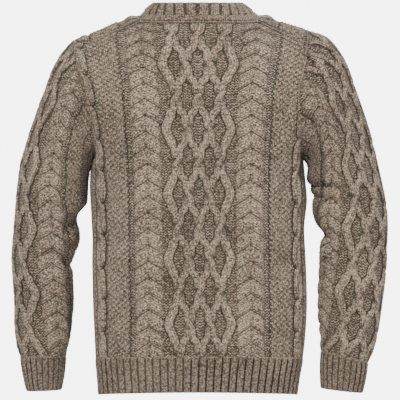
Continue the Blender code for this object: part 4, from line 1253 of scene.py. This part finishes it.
# %% Sleeves
sleeve_row_at, sleeve_row_marks = stops([10] * SLEEVE_ROWS)
sleeve_col_at, sleeve_col_marks = stops([5] * 6 + [9] * 12 + [5] * 6)
to_cuff = SLEEVE_ROWS - sleeve_row_at
hand = np.where(sleeve_col_at <= 12.0, -1.0, 1.0)  # the first twelve columns lie behind
sleeve_pieces = []
sleeve_rings = []
for label, (grid, place, n), creases, round_by in zip(
    ("left", "right"), sleeves, (CREASES_LEFT, CREASES_RIGHT), SLEEVE_TURN
):
    ground = pull_back(grid, True, ROUND_SEAM)
    fine = finer(ground, sleeve_row_at, sleeve_col_at, closed=True)
    fine_n = unit(finer(n, sleeve_row_at, sleeve_col_at, closed=True, smooth=False))
    calm = np.clip(np.minimum(sleeve_row_at / 1.3, to_cuff / 1.5), 0.0, 1.0)[:, None]
    depth = fold_depth(fine, creases, 0.012) * calm
    fine = fine - fine_n * depth[..., None]
    places = finer(place, sleeve_row_at, sleeve_col_at, closed=True, smooth=False)
    strands = knitting(places[..., 0] * hand + round_by, places[..., 1] + 0.5 * KNIT_REPEAT, False)
    # Painted shade at the armhole and cuff seams, and a painted shadow under the arm.
    ends = 0.9 * bell(sleeve_row_at, 0.30) + 0.4 * bell(to_cuff, 0.25)
    painted_underarm_shadow = 0.7 * bell(sleeve_row_at, 0.8)[:, None] * bell(fine[..., 2] + 0.185, 0.055)
    strands["dark"] = np.maximum(strands["dark"], np.maximum(ends[:, None], painted_underarm_shadow))
    soft_rows = [0, 1, 2, SLEEVE_ROWS - 1, SLEEVE_ROWS]
    soft = np.interp(sleeve_row_at, soft_rows, [0.3, 0.8, 1.0, 1.0, 0.4])
    inner = ground - n * (WALL + depth[sleeve_row_marks][:, sleeve_col_marks[:-1]])[..., None]
    piece = shell("knitted_sleeve_" + label, fine[:, :-1], fine_n[:, :-1], inner, strands, True,
                  sleeve_row_marks, sleeve_col_marks, soft[:, None])
    piece.data.materials.append(sleeve_wool)
    sleeve_pieces.append(piece)
    sleeve_rings.append(fine[-1, :-1])

# %% [markdown]
# The ribs are broad and flat, two knit stitches wide, with one sunken purl stitch between
# them. Neckband, hem and cuffs use the same ribbed shell on their own lines. Ribs could be
# instances, but the knit runs on from rib to rib, so they are relief in one cloth.

# %% Ribbed cloth
RIB_HEIGHT = 0.0021
HEM_RIBS, CUFF_RIBS, NECK_RIBS = 34, 24, 34
RIB_STEPS, NECK_STEPS = 10, 12  # points to a rib


def rib_strands(ribs, steps, high, run):
    """Broad ribs with narrow grooves: heights, stitch counts and painted shade in the grooves."""
    shape = (len(high), ribs * steps + 1)
    r = np.arange(shape[1]) / steps
    off = np.abs(r - np.round(r))
    top = ease(np.clip((off - 0.05) / 0.11, 0.0, 1.0)) * (1.0 - 0.16 * bell(off - 0.5, 0.06))
    knit = high[:, None] * top
    whole = np.floor(r + 1e-9)
    count = 2.0 * (whole + np.clip((r - whole - 0.13) / 0.74, 0.0, 1.0))
    sunk = np.where(off < 0.10, 1e-5, -1e-5)
    up = np.broadcast_to((-run / STITCH_HIGH)[:, None], shape)
    # Painted shade in the grooves between the ribs.
    groove = 1.1 * bell(off, 0.13) * np.clip(high / RIB_HEIGHT, 0.0, 1.0)[:, None]
    return {
        "ribs": True,
        "dark": np.array([groove, groove]),
        "high": np.array([knit, knit + sunk]) + 0.0003,
        "across": np.array([np.broadcast_to(count, shape), np.broadcast_to(3.0 * r, shape)]),
        "along": np.array([up, up]),
        "kind": np.array([PLAIN, PURL]),
    }


def ribbed(name, lines, n, steps, strands, closed, first=SEAM):
    """Ribbed piece from its ground lines, with a plainer inside."""
    rows, cols = lines.shape[0], strands["high"].shape[2]
    ground = pull_back(lines, closed, first, False)
    row_marks = [*range(0, rows - 1, 4), rows - 1]
    col_marks = list(range(0, cols, steps // 2))
    used = col_marks[:-1] if closed else col_marks
    inner = (ground - n * RIB_WALL)[row_marks][:, used]
    piece = shell(name, ground, n, inner, strands, closed, row_marks, col_marks)
    piece.data.materials.append(rib_wool)
    return piece


def end_rib(name, lines, n, ribs, closed):
    """Rib of the hem or of a cuff, softer at both ends."""
    share = np.linspace(0.0, 1.0, len(lines))
    high = RIB_HEIGHT * np.interp(share, [0.0, 0.06, 0.95, 1.0], [0.5, 1.0, 1.0, 0.6])
    run = lengths(lines[:, lines.shape[1] // 2])
    return ribbed(name, lines, n, RIB_STEPS, rib_strands(ribs, RIB_STEPS, high, run), closed)


print("ribs in hem, cuff, neck:", 2 * HEM_RIBS, CUFF_RIBS, NECK_RIBS)

# %% [markdown]
# The neckband is picked up from the neck edge of back and front: first a plain strip that
# is sewn down, then the rib, which leans in towards the neck. It is made from lines between
# the neck edge and the top edge, so it follows the edge that it is sewn to.

# %% Neckband
lo, mid_col, hi = [col_marks[middle + k] for k in (-NECK_COLUMN, 0, NECK_COLUMN)]
neck_line, neck_n = [
    np.roll(np.vstack([behind[-1][lo:hi + 1], before[-1][lo + 1:hi][::-1]]), lo - mid_col, axis=0)
    for behind, before in ((back_fine, front_fine), (back_fine_n, front_fine_n))
]
count = NECK_RIBS * NECK_STEPS
base = share_points(neck_line, np.hstack([neck_line, neck_n]), count, True)
turn = np.arange(count) / count * 2 * np.pi
run = np.where(turn > np.pi, 2 * np.pi - turn, turn)
side_of = np.where(turn > np.pi, -1.0, 1.0)
half = np.pi
round_at = glide([0.0, 0.26 * half, 0.48 * half, half], [0.0, 0.33 * half, 0.52 * half, half], run)
front_part = np.clip(-np.cos(round_at), 0.0, 1.0)
back_part = np.clip(np.cos(round_at), 0.0, 1.0)
top_line = np.stack([
    0.0775 * np.maximum(np.sin(round_at), 0.0) ** 0.9 * side_of + middle_x(0.0),
    0.074 * front_part - 0.064 * back_part,
    0.0375 - 0.0030 * back_part - 0.083 * front_part**1.5,
], axis=1)
share = np.linspace(0.0, 1.0, 29)
# Share of the height, and how far the band stands out there.
PUFF = np.array([
    (0.0, 0.0), (0.20, 0.0012), (0.34, 0.0018), (0.50, 0.0026), (0.78, 0.0022), (0.94, 0.0012), (1.0, 0.0)
])
puffs = np.interp(share, PUFF[:, 0], PUFF[:, 1])
band = []
for part, puff in zip(share, puffs):
    line = base[:, :3] * (1 - part) + top_line * part
    band.append(line + unit(line * LEVEL) * puff)
band = np.array(band)
band_n = normals(band, True, band * LEVEL)
band_n[0] = unit(band_n[0] + unit(base[:, 3:]))
rib_high = RIB_HEIGHT * np.interp(share, [0.0, 0.33, 0.40, 0.97, 1.0], [0.0, 0.0, 1.0, 1.0, 0.6])
neck_strands = rib_strands(NECK_RIBS, NECK_STEPS, rib_high, lengths(band[:, 0]))
strip_high = 0.0011 * np.interp(share, [0.0, 0.05, 0.27, 0.34, 0.36], [0.3, 1.0, 1.0, 0.2, 0.0])
strip_high += 0.0003 + np.where(share < 0.35, 2e-5, -2e-3)
# Painted shade along the sewn edge of the strip.
strip = {
    "dark": bell(share, 0.10)[:, None],
    "high": strip_high[:, None],
    "across": np.arange(count + 1) / NECK_STEPS * 2.4,
    "along": neck_strands["along"][0],
}
for key, layer in strip.items():
    layer = np.broadcast_to(layer, (len(band), count + 1))
    neck_strands[key] = np.concatenate([neck_strands[key], layer[None]])
neck_strands["kind"] = np.array([PLAIN, PURL, PLAIN])
neck_piece = ribbed("ribbed_neckband", band, band_n, NECK_STEPS, neck_strands, True, ROUND_SEAM)

# %% [markdown]
# Hem and cuffs are knitted on to the edges of body and sleeves. They draw in a little, so
# they hang from the last row of the cloth above as a short band of their own. Each is made
# from lines that go down from that row, so its upper edge follows it point by point.

# %% Hem ribs and cuffs
HEM_TALL = 0.0630
hem_pieces = []
hem_lines = []
for label, face, body in (("back", -1, back_fine), ("front", 1, front_fine)):
    count = HEM_RIBS * RIB_STEPS
    sides = np.abs(np.linspace(-1.0, 1.0, count + 1)) ** 2
    lines = [share_points(body[0], body[0], count, False)]
    for share in np.linspace(0.0, 1.0, 33)[1:]:
        z = HEM_SEAM - HEM_TALL * share
        line = np.vstack([half_row(z, -1, face)[::-1], half_row(z, 1, face)[1:]])
        line = share_points(line, line, count, False)
        line[:, 2] -= SIDE_DROP * (1.0 + 0.35 * share) * sides
        lines.append(line)
    lines = np.array(lines)
    n = normals(lines, False, lines * LEVEL)
    n[:, 0] = (-1.0, 0.0, 0.0)
    n[:, -1] = (1.0, 0.0, 0.0)
    hem_pieces.append(end_rib("ribbed_hem_" + label, lines, n, HEM_RIBS, False))
    hem_lines.append((lines[0], n[0]))


def even_steps(total):
    """Places at even distances along half a cross line."""
    return np.linspace(0.0, total, 61)


cuff_pieces = []
cuff_lines = []
shares = np.linspace(0.0, 1.0, 31)
for label, side, end_at, loop in (
    ("left", -1, CUFF_END_LEFT, sleeve_rings[0]),
    ("right", 1, CUFF_END_RIGHT, sleeve_rings[1]),
):
    count = CUFF_RIBS * RIB_STEPS
    top = share_points(loop, loop, count, True)
    station = (end_at[0] * side, end_at[1], end_at[2] * side, *end_at[3:6])
    behind, before = [ring(station, even_steps, face)[0] for face in (-1, 1)]
    low = np.vstack([behind, before[-2:0:-1]])
    low = share_points(low, low, count, True)
    away = unit(0.5 * (top + low) - np.mean(0.5 * (top + low), axis=0))
    lines = np.array([top * (1 - s) + low * s + away * 0.006 * s * (1 - s) for s in shares])
    n = normals(lines, True, lines - np.mean(lines, axis=1, keepdims=True))
    cuff_pieces.append(end_rib("ribbed_cuff_" + label, lines, n, CUFF_RIBS, True))
    cuff_lines.append((lines[0], n[0]))

# %% [markdown]
# The pieces are linked together with the same wool. A chain of small loops lies on each
# seam. Geometry Nodes set one loop at each stitch along the seam line, turned to the line
# and away from the cloth, because a row of hundreds of equal things is what they are for.

# %% Seam lines


def seam_object(name, line, outward, closed):
    """Edges along a seam that remember the way out of the cloth."""
    mesh = bpy.data.meshes.new(name)
    last = len(line) - 1
    edges = [(k, k + 1) for k in range(last)] + ([(last, 0)] if closed else [])
    mesh.from_pydata(line.tolist(), edges, [])
    way = mesh.attributes.new("outward", "FLOAT_VECTOR", "POINT")
    way.data.foreach_set("vector", unit(outward).astype(np.float32).reshape(-1))
    return in_scene(name, mesh)


def link_input(tree, name):
    """Identifier of a named input of a node tree."""
    items = tree.interface.items_tree
    return next(x.identifier for x in items if x.name == name and x.in_out == "INPUT")


chain = bpy.data.node_groups.new("linking_stitches", "GeometryNodeTree")
given, end = sockets(
    chain,
    [
        ("Geometry", "Geometry", None),
        ("Stitch Spacing", "Float", 0.0049),
        ("Stitch Length", "Float", 0.0031),
        ("Stitch Width", "Float", 0.0014),
        ("Lift", "Float", 0.0012),
        ("Wool", "Material", None),
    ],
    [("Geometry", "Geometry")],
)
curve = put(chain, "GeometryNodeMeshToCurve", {"Mesh": given["Geometry"]}).outputs[0]
spacing = {"Curve": curve, "Length": given["Stitch Spacing"]}
spaced = put(chain, "GeometryNodeResampleCurve", spacing, mode="LENGTH").outputs[0]
way_out = {"Name": "outward"}
way_out = put(chain, "GeometryNodeInputNamedAttribute", way_out, data_type="FLOAT_VECTOR")
way_out = way_out.outputs["Attribute"]
lift = {0: way_out, "Scale": given["Lift"]}
lift = put(chain, "ShaderNodeVectorMath", lift, operation="SCALE").outputs[0]
raised = put(chain, "GeometryNodeSetPosition", {"Geometry": spaced, "Offset": lift}).outputs[0]
tangent = put(chain, "GeometryNodeInputTangent").outputs[0]
turned = put(chain, "FunctionNodeAlignEulerToVector", {"Vector": tangent}, axis="X").outputs[0]
turned = {"Rotation": turned, "Vector": way_out}
turned = put(chain, "FunctionNodeAlignEulerToVector", turned, axis="Z", pivot_axis="X").outputs[0]
ball = {"Segments": 8, "Rings": 5, "Radius": 1.0}
ball = put(chain, "GeometryNodeMeshUVSphere", ball).outputs["Mesh"]
size = {0: given["Stitch Length"], 1: given["Stitch Width"], 2: given["Stitch Width"]}
size = put(chain, "ShaderNodeCombineXYZ", size).outputs[0]
loop = put(chain, "GeometryNodeTransform", {"Geometry": ball, "Scale": size}).outputs[0]
slant = {"Geometry": loop, "Rotation": (0.0, 0.0, 0.42)}
loop = put(chain, "GeometryNodeTransform", slant).outputs[0]
loops = {"Points": raised, "Instance": loop, "Rotation": turned}
placed = put(chain, "GeometryNodeInstanceOnPoints", loops).outputs[0]
real = put(chain, "GeometryNodeRealizeInstances", {"Geometry": placed}).outputs[0]
smooth = put(chain, "GeometryNodeSetShadeSmooth", {"Geometry": real}).outputs[0]
painted = put(chain, "GeometryNodeSetMaterial", {"Geometry": smooth, "Material": given["Wool"]})
join(chain, end, {"Geometry": painted.outputs[0]})
print("group:", chain.name, "nodes", len(chain.nodes))

# %% [markdown]
# The linking yarn is the same wool, twisted tighter, so it is darker and shows no single
# stitches. It uses the group of the fibres on the place in space, because the loops have
# no stitch counts. A length of yarn could have been bent for each loop, but at 3 mm a
# slanted oval looks the same.

# %% Linking yarn
yarn = bpy.data.materials.new("linking_yarn")
yarn.use_nodes = True
tree = yarn.node_tree
place = put(tree, "ShaderNodeTexCoord").outputs["Object"]
scaled = {"Scale": (160.0, 160.0, 160.0), "Vector": place}
scaled = put(tree, "ShaderNodeMapping", scaled).outputs[0]
fibres = put(tree, "ShaderNodeGroup", {"Place": place, "Yarn": scaled}, node_tree=heather).outputs
bump = put(tree, "ShaderNodeBump", {"Distance": 0.0004, "Height": fibres["Fibre"]})
join(tree, tree.nodes["Principled BSDF"], {
    "Base Color": toned(tree, fibres["Tone"], (0.34, 0.75 * DARK), (0.68, 0.80 * LIGHT)),
    "Normal": bump.outputs[0],
    "Roughness": 0.92,
    "Specular IOR Level": 0.15,
    "Sheen Weight": 0.15,
})


def linked_seam(name, line, outward, closed, lift=0.0010, width=0.0012):
    """Chain of loops along a seam, as a plain mesh."""
    source = seam_object(name + "_line", line, outward, closed)
    modifier = source.modifiers.new("chain", "NODES")
    modifier.node_group = chain
    modifier[link_input(chain, "Lift")] = lift
    modifier[link_input(chain, "Stitch Width")] = width
    modifier[link_input(chain, "Wool")] = yarn
    evaluated = source.evaluated_get(bpy.context.evaluated_depsgraph_get())
    mesh = bpy.data.meshes.new_from_object(evaluated)
    mesh.name = name
    bpy.data.objects.remove(source, do_unlink=True)
    return in_scene(name, mesh)


seams = []
under = row_marks[UNDERARM_ROW]
for label, edge, part_of, hole in (
    ("left", 0, slice(0, lo + 1), armholes[0]),
    ("right", -1, slice(hi, None), armholes[1]),
):
    ring_line = share_points(hole[0], np.hstack(hole), 120, True)
    around = ring_line[:, :3], ring_line[:, 3:]
    shoulder = back_fine[-1][part_of], back_fine_n[-1][part_of]
    down = back_fine[:under, edge], back_fine_n[:under, edge]
    seams.append(linked_seam("armhole_seam_" + label, *around, True, 0.0004))
    seams.append(linked_seam("shoulder_seam_" + label, *shoulder, False, 0.0008))
    seams.append(linked_seam("side_seam_" + label, *down, False, 0.0004))
seams.append(linked_seam("neck_seam", neck_line, neck_n, True, 0.0008))
for label, seam_line in zip(("back", "front"), hem_lines):
    seams.append(linked_seam("hem_seam_" + label, *seam_line, False, 0.0007))
for label, seam_line in zip(("left", "right"), cuff_lines):
    seams.append(linked_seam("cuff_seam_" + label, *seam_line, True, 0.0007))
print("linking loops:", sum(len(s.data.polygons) for s in seams) // 40)

# %% [markdown]
# The camera stands where the photograph's did: level, behind the sweater's back, far away
# with a long lens, so that 400 pixels take in 720 mm. Three wide soft lights and a pale
# room light it. The floor is as far below as it would be if the sweater were worn.

# %% Camera, lights and floor
PIXEL = 0.0018  # metres that a pixel of the photograph shows
DISTANCE = 6.0
MIDDLE_AT = (1.0, -176.0)  # pixels from the origin to the middle of the picture
FLOOR = -1.45
camera_data = bpy.data.cameras.new("camera")
camera_data.sensor_width = 36.0
camera_data.lens = 36.0 / 2.0 / (200 * PIXEL / DISTANCE)
camera = in_scene("camera", camera_data)
camera.location = (MIDDLE_AT[0] * PIXEL, -DISTANCE, MIDDLE_AT[1] * PIXEL)
camera.rotation_euler = (np.pi / 2, 0.0, 0.0)
bpy.context.scene.camera = camera

world = bpy.data.worlds.new("pale_room")
world.use_nodes = True
tree = world.node_tree
room = join(tree, tree.nodes["Background"], {0: (0.96, 0.965, 0.97, 1.0), 1: 0.42})
behind = put(tree, "ShaderNodeBackground", {0: (1.0, 1.0, 1.0, 1.0), 1: 6.0})
seen = put(tree, "ShaderNodeLightPath").outputs["Is Camera Ray"]
either = put(tree, "ShaderNodeMixShader", {0: seen, 1: room.outputs[0], 2: behind.outputs[0]})
join(tree, tree.nodes["World Output"], {0: either.outputs[0]})
bpy.context.scene.world = world


def soft_light(name, place, target, size, power):
    """Wide area light that looks at a point."""
    data = bpy.data.lights.new(name, "AREA")
    data.shape = "RECTANGLE"
    data.size, data.size_y = size
    data.energy = power
    lamp = in_scene(name, data)
    lamp.location = place
    lamp.rotation_euler = (Vector(target) - Vector(place)).to_track_quat("-Z", "Y").to_euler()


soft_light("key", (-0.9, -2.5, 2.3), (0.0, 0.0, -0.3), (0.9, 0.9), 125.0)
soft_light("side", (2.8, -1.6, 0.5), (0.0, 0.0, -0.35), (1.4, 1.8), 38.0)
soft_light("far", (0.6, 2.6, 2.0), (0.0, 0.0, -0.3), (1.2, 1.0), 95.0)

floor_mesh = bpy.data.meshes.new("floor")
floor_shape = bmesh.new()
bmesh.ops.create_circle(floor_shape, cap_ends=True, segments=96, radius=9.0)
bmesh.ops.translate(floor_shape, vec=(0.0, 0.0, FLOOR), verts=floor_shape.verts)
floor_shape.to_mesh(floor_mesh)
floor_shape.free()
floor = in_scene("floor", floor_mesh)
pale = bpy.data.materials.new("pale_floor")
pale.use_nodes = True
shader = pale.node_tree.nodes["Principled BSDF"]
join(pale.node_tree, shader, {"Base Color": (0.90, 0.90, 0.89, 1.0), "Roughness": 0.9})
floor_mesh.materials.append(pale)
print("camera lens mm:", round(camera_data.lens, 1))

# %% [markdown]
# Last, each piece is hung from the root, the solid that it stands in for is hidden, and the
# size of the flat cloth that it was knitted to is printed. Flat sizes are measured on the
# ground of each piece, round a tube and down its length.

HEM_FLAT = ((0.500, 0.0645), 0.0322)  # width and length in metres, area in square metres
CUFF_FLAT = ((0.215, 0.063), 0.0135)


def flat_size(lines, closed):
    """Widest row, longest column and area of a ground grid."""
    rows = np.concatenate([lines, lines[:, :1]], axis=1) if closed else lines
    col_lengths = [lengths(lines[:, k])[-1] for k in range(0, lines.shape[1], 6)]
    wide = np.linalg.norm(np.diff(rows, axis=1), axis=2).sum(1)
    tall = np.mean(np.linalg.norm(np.diff(lines, axis=0), axis=2), axis=1)
    area = float(np.sum(0.5 * (wide[1:] + wide[:-1]) * tall))
    return (float(max(wide)), max(col_lengths)), area


left_flat, right_flat = [flat_size(sleeve[0], True) for sleeve in sleeves]
neck_flat = flat_size(band, True)
PIECES = [
    (back_piece, "back_panel", "wool_body", flat_size(back, False), "hung", ["front_panel"]),
    (front_piece, "front_panel", "wool_body", flat_size(front, False), "hung", ["back_panel"]),
    (sleeve_pieces[0], "sleeve_left", "wool_sleeve", left_flat, "hung", ["back_panel"]),
    (sleeve_pieces[1], "sleeve_right", "wool_sleeve", right_flat, "hung", ["back_panel"]),
    (neck_piece, "neckband", "wool_rib", neck_flat, "stretched", ["back_panel", "front_panel"]),
    (hem_pieces[0], "hem_rib_back", "wool_rib", HEM_FLAT, "hung", ["back_panel"]),
    (hem_pieces[1], "hem_rib_front", "wool_rib", HEM_FLAT, "hung", ["front_panel"]),
    (cuff_pieces[0], "cuff_left", "wool_rib", CUFF_FLAT, "hung", ["sleeve_left"]),
    (cuff_pieces[1], "cuff_right", "wool_rib", CUFF_FLAT, "hung", ["sleeve_right"]),
]
for piece, node, slot, (flat, area), held, rests in PIECES:
    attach(piece, "root")
    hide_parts(node)
    print(piece.name, "flat mm", [round(x * 1000) for x in flat], "area m2", round(area, 4))
for seam in seams:
    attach(seam, "root")
